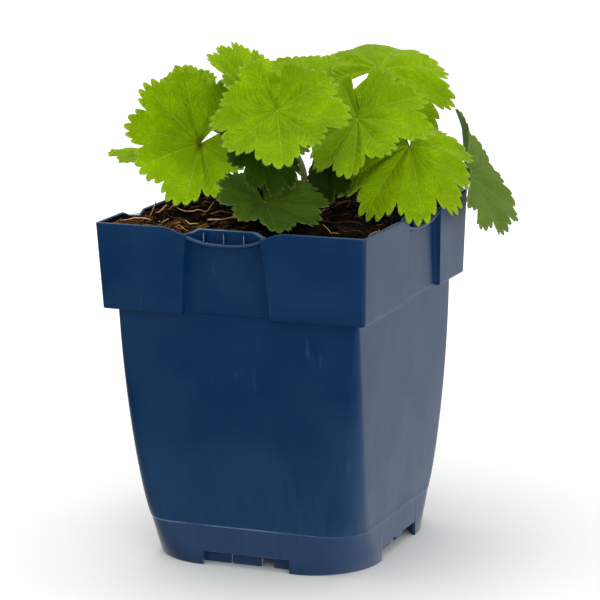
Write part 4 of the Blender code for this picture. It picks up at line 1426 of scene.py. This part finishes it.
@dataclass
class Leaf:
    """One leaf: a pleated, lobed, toothed blade on a slender hairy stalk.

    The base is where the stalk meets the blade, angles are degrees unless radians are given, and cup, arch,
    spread, wave and the depths are shares of the blade's radius.
    """

    name: str
    base: Tuple[float, float, float]
    heading: float
    pitch: float
    roll: float
    radius: float
    cup: float
    arch: float
    spread: float
    wave: float
    lobes: int
    seed: int
    ring: float
    swing: float
    bow: float
    tone: Tone = Tone.GREEN
    spot: float = 0.0
    sinus_half: float = radians(11)
    lobe_turn: float = radians(9)
    lobe_vary: float = 0.11
    notch_depth: float = 0.17
    pleat: float = 0.03
    droop: float = 0.03
    ripple: float = 0.010
    teeth: int = 5
    tooth_depth: float = 0.096
    tooth_reach: float = 1.030
    steps_per_tooth: int = 8
    rows: Tuple[float, ...] = (0.03, 0.08, 0.14, 0.20, 0.26, 0.32, 0.38, 0.44, 0.50, 0.56, 0.62, 0.68,
                               0.74, 0.80, 0.86, 0.905, 0.945, 0.975, 1.0)
    thick: float = 0.62
    thinning: float = 0.34
    stalk_sunk: float = 9.0
    stalk_straight: float = 13.0
    stalk_radius: float = 0.62
    stalk_swell: float = 0.42
    stalk_flare: float = 0.22
    stalk_steps: int = 34
    stalk_sides: int = 12
    hairs: int = 170
    hair_radii: Tuple[float, float, float] = (0.042, 0.034, 0.010)

    def __post_init__(self) -> None:
        """Works out the blade's own directions and its lobes."""
        heading, pitch, roll = radians(self.heading), radians(self.pitch), radians(self.roll)
        self.forward = np.array([cos(pitch) * cos(heading), cos(pitch) * sin(heading), sin(pitch)])
        upright = np.array([-sin(pitch) * cos(heading), -sin(pitch) * sin(heading), cos(pitch)])
        self.normal = upright * cos(roll) + np.cross(self.forward, upright) * sin(roll)
        self.across = np.cross(self.normal, self.forward)
        number = np.arange(self.lobes)
        limit = pi - self.sinus_half
        turned = self.lobe_turn * (2.0 * chance(self.seed, number) - 1.0)
        self.middles = (number - self.lobes // 2) * 2.0 * limit / self.lobes + turned
        self.lengths = 1.0 + self.lobe_vary * (2.0 * chance(self.seed, number + 40) - 1.0)
        between = 0.5 * (self.middles[1:] + self.middles[:-1])
        self.notches = np.concatenate([[-limit], between, [limit]])

    def lobe_at(self, angle: np.ndarray) -> Tuple[np.ndarray, np.ndarray, np.ndarray]:
        """Which lobe an angle falls in.

        Args:
            angle: angles round the blade, 0 in front.
        Returns:
            The lobe, whether the angle is left of its midrib, and how near the notch: 0 midrib, 1 notch.
        """
        lobe = np.clip(np.searchsorted(self.notches, angle, side="right") - 1, 0, self.lobes - 1)
        middle = self.middles[lobe]
        left = angle < middle
        width = np.where(left, middle - self.notches[lobe], self.notches[lobe + 1] - middle)
        return lobe, left, np.clip(np.abs(angle - middle) / width, 0.0, 1.0)

    def reach(self, angle: np.ndarray) -> np.ndarray:
        """How far the lobed outline reaches: a round form, longest in front, drawn in at the notches.

        Args:
            angle: angles round the blade, 0 in front.
        Returns:
            The reach at each angle.
        """
        lobe, left, near = self.lobe_at(angle)
        beside = np.clip(np.where(left, lobe - 1, lobe + 1), 0, self.lobes - 1)
        share = 0.5 * near ** 3
        length = self.lengths[lobe] * (1.0 - share) + self.lengths[beside] * share
        round_form = 0.70 + 0.30 * np.cos(angle * 0.5) ** 2
        return self.radius * round_form * length * (1.0 - self.notch_depth * near ** 2.6)

    def height(self, x: np.ndarray, y: np.ndarray) -> np.ndarray:
        """Height of the sheet: a cone, less two parabolas, with a slow wave, pleats and a drooping rim.

        Args:
            x: places forward of the stalk.
            y: places across.
        Returns:
            The height at each place.
        """
        size, limit = self.radius, pi - self.sinus_half
        angle = np.clip(np.arctan2(y, x), -limit, limit)
        out = np.sqrt(x * x + y * y) / size
        near = self.lobe_at(angle)[2]
        z = self.cup * out - self.arch * (x / size) ** 2 - self.spread * (y / size) ** 2
        z = z + self.wave * out ** 2 * np.cos(3.0 * angle + self.seed % 6)
        z = z - self.pleat * np.sin(0.62 * pi * np.clip(out, 0.0, 1.0) ** 0.8) * np.cos(pi * near)
        z = z + self.ripple * np.sin(19.0 * angle + self.seed) * out ** 5
        return size * (z - self.droop * out ** 4)

    def place(self, x: np.ndarray, y: np.ndarray, z: np.ndarray) -> np.ndarray:
        """From the blade's own directions to the pot's."""
        return (np.array(self.base) + x[..., None] * self.forward + y[..., None] * self.across
                + z[..., None] * self.normal)

    def columns(self) -> Tuple[np.ndarray, np.ndarray]:
        """The columns of the blade's grid, even within each lobe, with teeth of uneven height.

        Returns:
            Their angles, and how deep each lies in the gap between two teeth, 0 on a tooth's tip.
        """
        count = self.teeth * self.steps_per_tooth
        share = np.arange(count) / count
        lobes = [mix(low, high, share) for low, high in zip(self.notches[:-1], self.notches[1:])]
        angle = np.concatenate(lobes + [self.notches[-1:]])
        phase = np.concatenate([np.tile(share * self.teeth, self.lobes), [0.0]]) % 1.0
        tall = 0.76 + 0.24 * chance(self.seed + 5.0, np.floor(np.arange(len(angle)) / self.steps_per_tooth))
        return angle, 1.0 - tall * np.abs(np.sin(pi * phase)) ** 0.85

    def blade_skin(self) -> Skin:
        """The blade: the sheet's height over a grid of angles and shares of the reach, thinner outwards.

        Returns:
            The blade, with the marks that its veins are drawn from, its under face in the second slot.
        """
        angle, gap = self.columns()
        share = np.array(self.rows)[:, None]
        cut = self.tooth_depth * gap * ease(0.84, 1.0, share) ** 0.8
        far = self.reach(angle) * share * (self.tooth_reach - cut)
        x, y = far * np.cos(angle), far * np.sin(angle)
        z = self.height(x, y)
        half = 0.5 * (self.thick - self.thinning * share)
        zero = np.zeros(1)
        centre = self.height(zero, zero)
        sheets = [self.place(x, y, z + half), self.place(x, y, z - half)]
        middles = [self.place(zero, zero, centre + side * 0.5 * self.thick) for side in (1.0, -1.0)]
        points = np.concatenate([part.reshape(-1, 3) for part in sheets + middles])
        upper, under = sheet_faces(*x.shape)
        slots = np.repeat([0, 1], [sum(len(part) for part in faces) for faces in (upper, under)])
        lobe, _, near = self.lobe_at(angle)
        lobe_seed = chance(self.seed, np.arange(self.lobes) + 90)[lobe]
        away = np.hypot(x * 0.75, y - 0.9 * x * self.spot)
        marks = {"near": (near, 0.0), "out": (share, 0.0), "seed": (lobe_seed, 0.5), "rim": (share, 0.0),
                 "spot": (self.spot * np.exp(-(away / 1.7) ** 2), self.spot)}
        full = {}
        for name, (values, middle) in marks.items():
            sheet = np.broadcast_to(values, x.shape).reshape(-1)
            full[name] = np.concatenate([sheet, sheet, [middle, middle]])
        return Skin(points, upper + under, full, slots)

    def stalk_path(self, compost: Compost, stock: Rootstock) -> np.ndarray:
        """Middle line of the stalk: straight out of the compost, then a cubic curve over to the blade.

        Args:
            compost: what it stands in.
            stock: what it stands round.
        Returns:
            Places along the stalk.
        """
        toward = atan2(self.base[1] - stock.y, self.base[0] - stock.x) + radians(self.swing)
        x, y = stock.x + self.ring * cos(toward), stock.y + self.ring * sin(toward)
        foot = np.array([x, y, compost.height(x, y) - self.stalk_sunk])
        start = foot + self.stalk_straight * UP
        end = np.array(self.base) + 0.9 * self.forward + 0.05 * self.normal
        rise = np.linalg.norm(end - start)
        first = start + 0.35 * rise * UP
        second = end - self.normal * 0.30 * rise - self.forward * self.bow * rise
        t = np.linspace(0.0, 1.0, self.stalk_steps)[:, None]
        curve = ((1 - t) ** 3 * start + 3 * t * (1 - t) ** 2 * first + 3 * t * t * (1 - t) * second
                 + t ** 3 * end)
        return np.concatenate([mix(foot, start, np.linspace(0.0, 1.0, 7)[:-1, None]), curve])

    def stalk_skin(self, path: np.ndarray) -> Skin:
        """The stalk: a round section carried along its path, thicker at the foot, flared under the blade.

        Args:
            path: its middle line.
        Returns:
            The stalk, in the third slot.
        """
        along = np.linspace(0.0, 1.0, len(path))
        radii = self.stalk_radius + self.stalk_swell * (1.0 - along) ** 1.3
        radii = radii + self.stalk_flare * ease(0.97, 1.0, along)
        chord = path[-1] - path[0]
        plane = unit(np.array([chord[1] + 1e-3, -chord[0] + 2e-3, 0.0]))
        return tubes(path[None], radii[None], self.stalk_sides, plane, 2)

    def rim_hairs(self) -> Tuple[np.ndarray, np.ndarray, np.ndarray]:
        """Hairs out of the blade's rim, one to a column, each with its own lean.

        Returns:
            Their roots, their ways with their length, and how they bend.
        """
        angle, gap = self.columns()
        order = np.arange(len(angle))
        far = self.reach(angle) * (self.tooth_reach - self.tooth_depth * gap)
        x, y = far * np.cos(angle), far * np.sin(angle)
        root = self.place(x, y, self.height(x, y))
        lean = angle + 0.9 * (chance(71.0 + self.seed, order) - 0.5)
        rise = 0.9 * (chance(73.0 + self.seed, order) - 0.5)
        way = (np.cos(lean)[:, None] * self.forward + np.sin(lean)[:, None] * self.across
               + rise[:, None] * self.normal)
        long = (0.35 + 0.55 * chance(75.0 + self.seed, order))[:, None]
        return root - way * 0.12, way * long, 0.12 * long * self.normal

    def stalk_hairs(self, path: np.ndarray) -> Tuple[np.ndarray, np.ndarray, np.ndarray]:
        """Hairs square to the stalk above its foot.

        Args:
            path: the stalk's middle line.
        Returns:
            Their roots, their ways with their length, and how they bend.
        """
        order = np.arange(self.hairs)
        at = 8.0 + (len(path) - 10.0) * chance(77.0 + self.seed, order)
        low = np.floor(at).astype(int)
        part = (at - low)[:, None]
        on = path[low] * (1.0 - part) + path[low + 1] * part
        run = unit(path[low + 1] - path[low])
        turn = np.stack([np.cos(order * 2.4), np.sin(order * 2.4), 0.3 * np.cos(order)], axis=-1)
        side = unit(np.cross(run, turn))
        long = (0.9 + 0.6 * chance(79.0 + self.seed, order))[:, None]
        return on + side * 0.45, (side + 0.15 * run) * long, 0.10 * run

    def down_skin(self, path: np.ndarray) -> Skin:
        """Hairs on the rim and the stalk: thin spikes that bend with the square of the way along.

        Args:
            path: the stalk's middle line.
        Returns:
            The hairs, in the fourth slot.
        """
        both = zip(self.rim_hairs(), self.stalk_hairs(path))
        roots, ways, bends = [np.concatenate(pair) for pair in both]
        t = np.linspace(0.0, 1.0, len(self.hair_radii))[None, :, None]
        paths = roots[:, None] + ways[:, None] * t + bends[:, None] * t ** 2
        radii = np.broadcast_to(np.array(self.hair_radii), paths.shape[:2])
        upright = np.cross(ways, np.roll(ways, 1, axis=1) + np.array([0.1, 0.2, 0.3]))[:, None, :]
        return tubes(paths, radii, 3, upright, 3)

    def build(self, compost: Compost, stock: Rootstock, finishes: Dict[str, bpy.types.Material]) -> None:
        """Grows the leaf in one piece.

        Args:
            compost: what it stands in.
            stock: what it stands round.
            finishes: materials made so far, by name.
        """
        blade = self.tone.value
        upper, under = blade.name + "_upper", blade.name + "_under"
        if upper not in finishes:
            finishes[upper], finishes[under] = blade.make(), blade.make(under=True)
        path = self.stalk_path(compost, stock)
        skin = self.blade_skin().joined(self.stalk_skin(path)).joined(self.down_skin(path))
        dress = [finishes[name] for name in (upper, under, "stalk", "down")]
        skin.piece(self.name + "_grown", dress, Slot.LEAF, [self.name])


# Some leaves take a tone painted lighter or darker for the light that reaches them.
LEAVES = (
    Leaf("leaf_left_big", (-33.2, -6.1, 157.2), -136, -26, -56, 30.7,
         0.46, 0.2, -0.25, 0.03, 9, 627, 10.8, 40, 0.01, Tone.PAINTED_LIGHT, spot=1.0),
    Leaf("leaf_centre_top", (8.6, -26.3, 174.7), -63, -45, 7, 29,
         0.22, -0.12, 0.11, 0.03, 9, 123, 8.9, 4, 0.14, Tone.FRESH),
    Leaf("leaf_middle_right", (31.3, -1.6, 168.9), -79, -42, 20, 29.7,
         0.1, -0.11, 0.48, 0.03, 9, 129, 9, -30, -0.01, Tone.GREEN),
    Leaf("leaf_right_big", (51.2, 0.5, 159.1), -65, -36, -3, 30,
         -0.05, 0.34, 0.4, 0.02, 9, 1343, 13.6, -16, 0.18, Tone.GREEN),
    Leaf("leaf_centre_shaded", (1.7, -26.9, 162.5), -33, -54, -16, 23.7,
         0.04, 0.12, 0.19, 0.03, 9, 1114, 15, -29, 0.12, Tone.PAINTED_DEEP_SHADE),
    Leaf("leaf_front_low", (4.2, -30.4, 140.4), -49, -21, -7, 26,
         0.22, 0.11, 0, 0.03, 9, 390, 15, 1, 0.27, Tone.PAINTED_SHADE),
    Leaf("leaf_right_hanging", (52.5, 59.3, 139.2), 80, -47, 62, 31.2,
         0.37, -0.04, 0.32, 0.03, 9, 801, 15, -40, 0.45, Tone.GREY),
    Leaf("leaf_top_right", (15.6, 59.7, 179.3), 52, 16, 32, 32.1,
         -0.1, 0.28, 0.41, 0.03, 9, 1375, 9.7, -16, -0.03, Tone.GREEN),
    Leaf("leaf_top_left", (-19.2, 6.6, 176.0), 198, 57, -18, 22,
         0.31, 0.3, -0.03, 0.03, 9, 354, 8.4, 7, 0.05, Tone.PAINTED_LIGHT),
    Leaf("leaf_far_left", (-41.8, 0.4, 174.7), 116, 45, -9, 15.1,
         0.15, 0.17, 0.18, 0.03, 7, 41, 11.2, -25, 0.26, Tone.GREEN),
    Leaf("leaf_top_middle", (-6.8, 30.4, 176.7), 99, 37, -9, 20.1,
         0.15, 0.28, -0.05, 0.03, 7, 52, 8.9, -27, 0.07, Tone.GREEN),
    Leaf("leaf_left_tip", (-60.8, 2.1, 150.6), -139, -1, -1, 16.6,
         0.15, 0.05, 0.16, 0.03, 7, 344, 12.5, 25, 0.2, Tone.GREEN),
    Leaf("leaf_front_gap", (21.9, -6.6, 152.7), -102, -60, 20, 17.1,
         0.15, 0.27, 0.23, 0.03, 7, 74, 14.8, -6, 0.31, Tone.PAINTED_DEEP_SHADE),
    Leaf("leaf_back_left", (-23.0, 42.1, 162.8), 128, -15, -2, 26,
         0.15, 0.2, 0.29, 0.03, 7, 85, 8.2, -7, 0.08, Tone.GREEN),
    Leaf("leaf_back_middle", (20.9, 25.6, 168.4), -73, -57, 6, 14.4,
         0.15, 0.15, 0.17, 0.03, 7, 96, 14.6, 21, 0.21, Tone.GREEN),
    Leaf("leaf_right_low", (54.8, 30.9, 146.1), 11, -41, 2, 11,
         0.15, 0.17, 0.11, 0.03, 7, 107, 13.8, -3, -0.1, Tone.GREY),
    Leaf("leaf_left_low", (-55.4, 24.1, 144.6), 200, -30, 4, 16.5,
         0.15, 0.09, 0.08, 0.03, 7, 118, 15, 25, 0.26, Tone.GREEN),
    Leaf("leaf_back_right", (30.4, 51.4, 135.7), 68, -11, -3, 22.4,
         0.15, 0.01, 0.02, 0.03, 7, 129, 14.7, -20, 0.28, Tone.GREY),
    Leaf("leaf_back_low", (-30.8, 60.9, 148.7), 131, -34, 0, 21.8,
         0.15, 0.08, 0.35, 0.03, 7, 140, 14.6, 33, 0.06, Tone.GREEN),
    Leaf("leaf_young_left", (-7.0, 15.1, 152.3), 146, 44, 1, 9,
         0.9, 0.16, -0.25, 0.02, 5, 151, 7.8, -4, 0.22, Tone.FRESH),
    Leaf("leaf_young_right", (18.1, 13.4, 154.2), 48, 26, 2, 7.1,
         0.9, -0.12, -0.21, 0.02, 5, 162, 9.1, -14, -0.04, Tone.FRESH),
)


def stood(thing: bpy.types.Object, axes: Sequence[np.ndarray], place: Sequence[float]) -> None:
    """Puts an object in the scene at a place, turned so that its own axes run along given directions.

    Args:
        thing: the object.
        axes: directions of its three axes.
        place: where it stands, in metres.
    """
    pose = np.identity(4)
    pose[:3] = np.column_stack([*axes, place])
    thing.matrix_world = Matrix(pose.tolist())
    bpy.context.scene.collection.objects.link(thing)


@dataclass
class Studio:
    """The camera at the photo's angle, a pale floor and soft light.

    The camera's aim is in millimetres: how far right of the pot's middle, how far off, and how high.
    Everything else here is in metres, degrees and watts.
    """

    right: float = 4.73
    off: float = 1109.0
    high: float = 96.07
    azimuth: float = 23.3
    elevation: float = 12.37
    roll: float = -1.06
    lens: float = 170.7
    sensor: float = 36.0
    tent: float = 0.80
    fill: float = 0.80
    floor_half: float = 6.0
    lamp_side: float = 0.9
    lamps: Tuple[Tuple[str, Tuple[float, float, float], float], ...] = (
        ("lamp_above", (-0.20, 0.20, 1.20), 8.0),
        ("lamp_front", (0.30, -1.20, 1.00), 3.0),
        ("lamp_side", (0.95, -1.10, 0.30), 8.0))
    lamps_look_at: Tuple[float, float, float] = (0.0, 0.0, 0.12)

    def camera(self) -> None:
        """Sets the camera from its angles, its distance and its aim."""
        a, e, r = radians(self.azimuth), radians(self.elevation), radians(self.roll)
        back = np.array([sin(a) * cos(e), -cos(a) * cos(e), sin(e)])
        level = np.array([cos(a), sin(a), 0.0])
        right = cos(r) * level + sin(r) * np.cross(back, level)
        spot = level * self.right + UP * self.high + back * self.off
        data = bpy.data.cameras.new("camera")
        data.sensor_width, data.lens = self.sensor, self.lens
        data.clip_start, data.clip_end = 0.05, 20.0
        thing = bpy.data.objects.new("camera", data)
        stood(thing, (right, np.cross(back, right), back), spot * MM)
        bpy.context.scene.camera = thing

    def floor(self) -> None:
        """Lays a plain pale floor that brightens into the surround."""
        mesh = bpy.data.meshes.new("floor")
        far = self.floor_half
        mesh.from_pydata([(-far, -far, 0), (far, -far, 0), (far, far, 0), (-far, far, 0)], [], [(0, 1, 2, 3)])
        bench = Bench("floor_pale")
        flat = bench.place((1.0, 1.0, 0.0))
        off = bench.node("ShaderNodeVectorMath", {0: flat}, operation="LENGTH").outputs["Value"]
        glow = bench.spread(off, 0.10, 0.70, 0.0, 0.45)
        mesh.materials.append(bench.done(bench.surface(
            (0.80, 0.81, 0.79), 0.9, Specular_IOR_Level=0.05, Emission_Color=(1.0, 1.0, 1.0),
            Emission_Strength=glow)))
        thing = bpy.data.objects.new("floor", mesh)
        thing.visible_glossy = False
        bpy.context.scene.collection.objects.link(thing)

    def lamp(self, name: str, place: Tuple[float, float, float], watts: float) -> None:
        """Hangs a square soft light that looks at the pot.

        Args:
            name: its name.
            place: where it hangs.
            watts: its power.
        """
        data = bpy.data.lights.new(name, "AREA")
        data.shape, data.size, data.energy = "SQUARE", self.lamp_side, watts
        back = unit(np.array(place) - np.array(self.lamps_look_at))
        level = unit(np.cross(UP, back))
        stood(bpy.data.objects.new(name, data), (level, np.cross(back, level), back), place)

    def light(self) -> None:
        """A bright even surround and soft lamps."""
        scene = bpy.context.scene
        scene.view_settings.view_transform = "Standard"
        scene.world = self.surround()
        for name, place, watts in self.lamps:
            self.lamp(name, place, watts)

    def surround(self) -> bpy.types.World:
        """A white tent, open in front low down for what mirrors it, while matt things still get its fill.

        Returns:
            The world.
        """
        world = bpy.data.worlds.new("surround")
        world.use_nodes = True
        wiring = Wiring(world.node_tree)
        toward = wiring.node("ShaderNodeTexCoord", {}).outputs["Generated"]
        up = wiring.node("ShaderNodeSeparateXYZ", {0: toward}).outputs["Z"]
        rear = wiring.node("ShaderNodeVectorMath", {0: toward, 1: (0.45, 0.89, 0.0)}, operation="DOT_PRODUCT")
        mirrored = wiring.math("MAXIMUM", wiring.spread(rear.outputs["Value"], -0.55, 0.65, 0.03, 1.25),
                               wiring.spread(up, -0.05, 0.45))
        seen = wiring.node("ShaderNodeLightPath", {}).outputs
        matt = wiring.math("MULTIPLY_ADD", seen["Is Glossy Ray"], -self.fill, self.fill)
        filled = wiring.math("MAXIMUM", mirrored, matt)
        bright = wiring.node("ShaderNodeMix", {0: seen["Is Camera Ray"], 2: filled, 3: 1.0 / self.tent})
        shade = world.node_tree.nodes["Background"]
        shade.inputs["Color"].default_value = (1.0, 1.0, 1.0, 1.0)
        wiring.tree.links.new(wiring.times(bright.outputs[0], self.tent), shade.inputs["Strength"])
        return world


def main() -> None:
    """Builds the potted plant and its studio."""
    logging.basicConfig(level=logging.INFO, format="%(name)s %(message)s")
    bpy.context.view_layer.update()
    studio = Studio()
    studio.camera()
    studio.floor()
    studio.light()
    pot = Pot()
    pot.build()
    compost = Compost(pot)
    compost.build()
    stock = Rootstock()
    stock.build(compost)
    finishes = {"stalk": Stalk().make(), "down": Down().make()}
    for leaf in LEAVES:
        leaf.build(compost, stock, finishes)


if __name__ == "__main__":
    main()
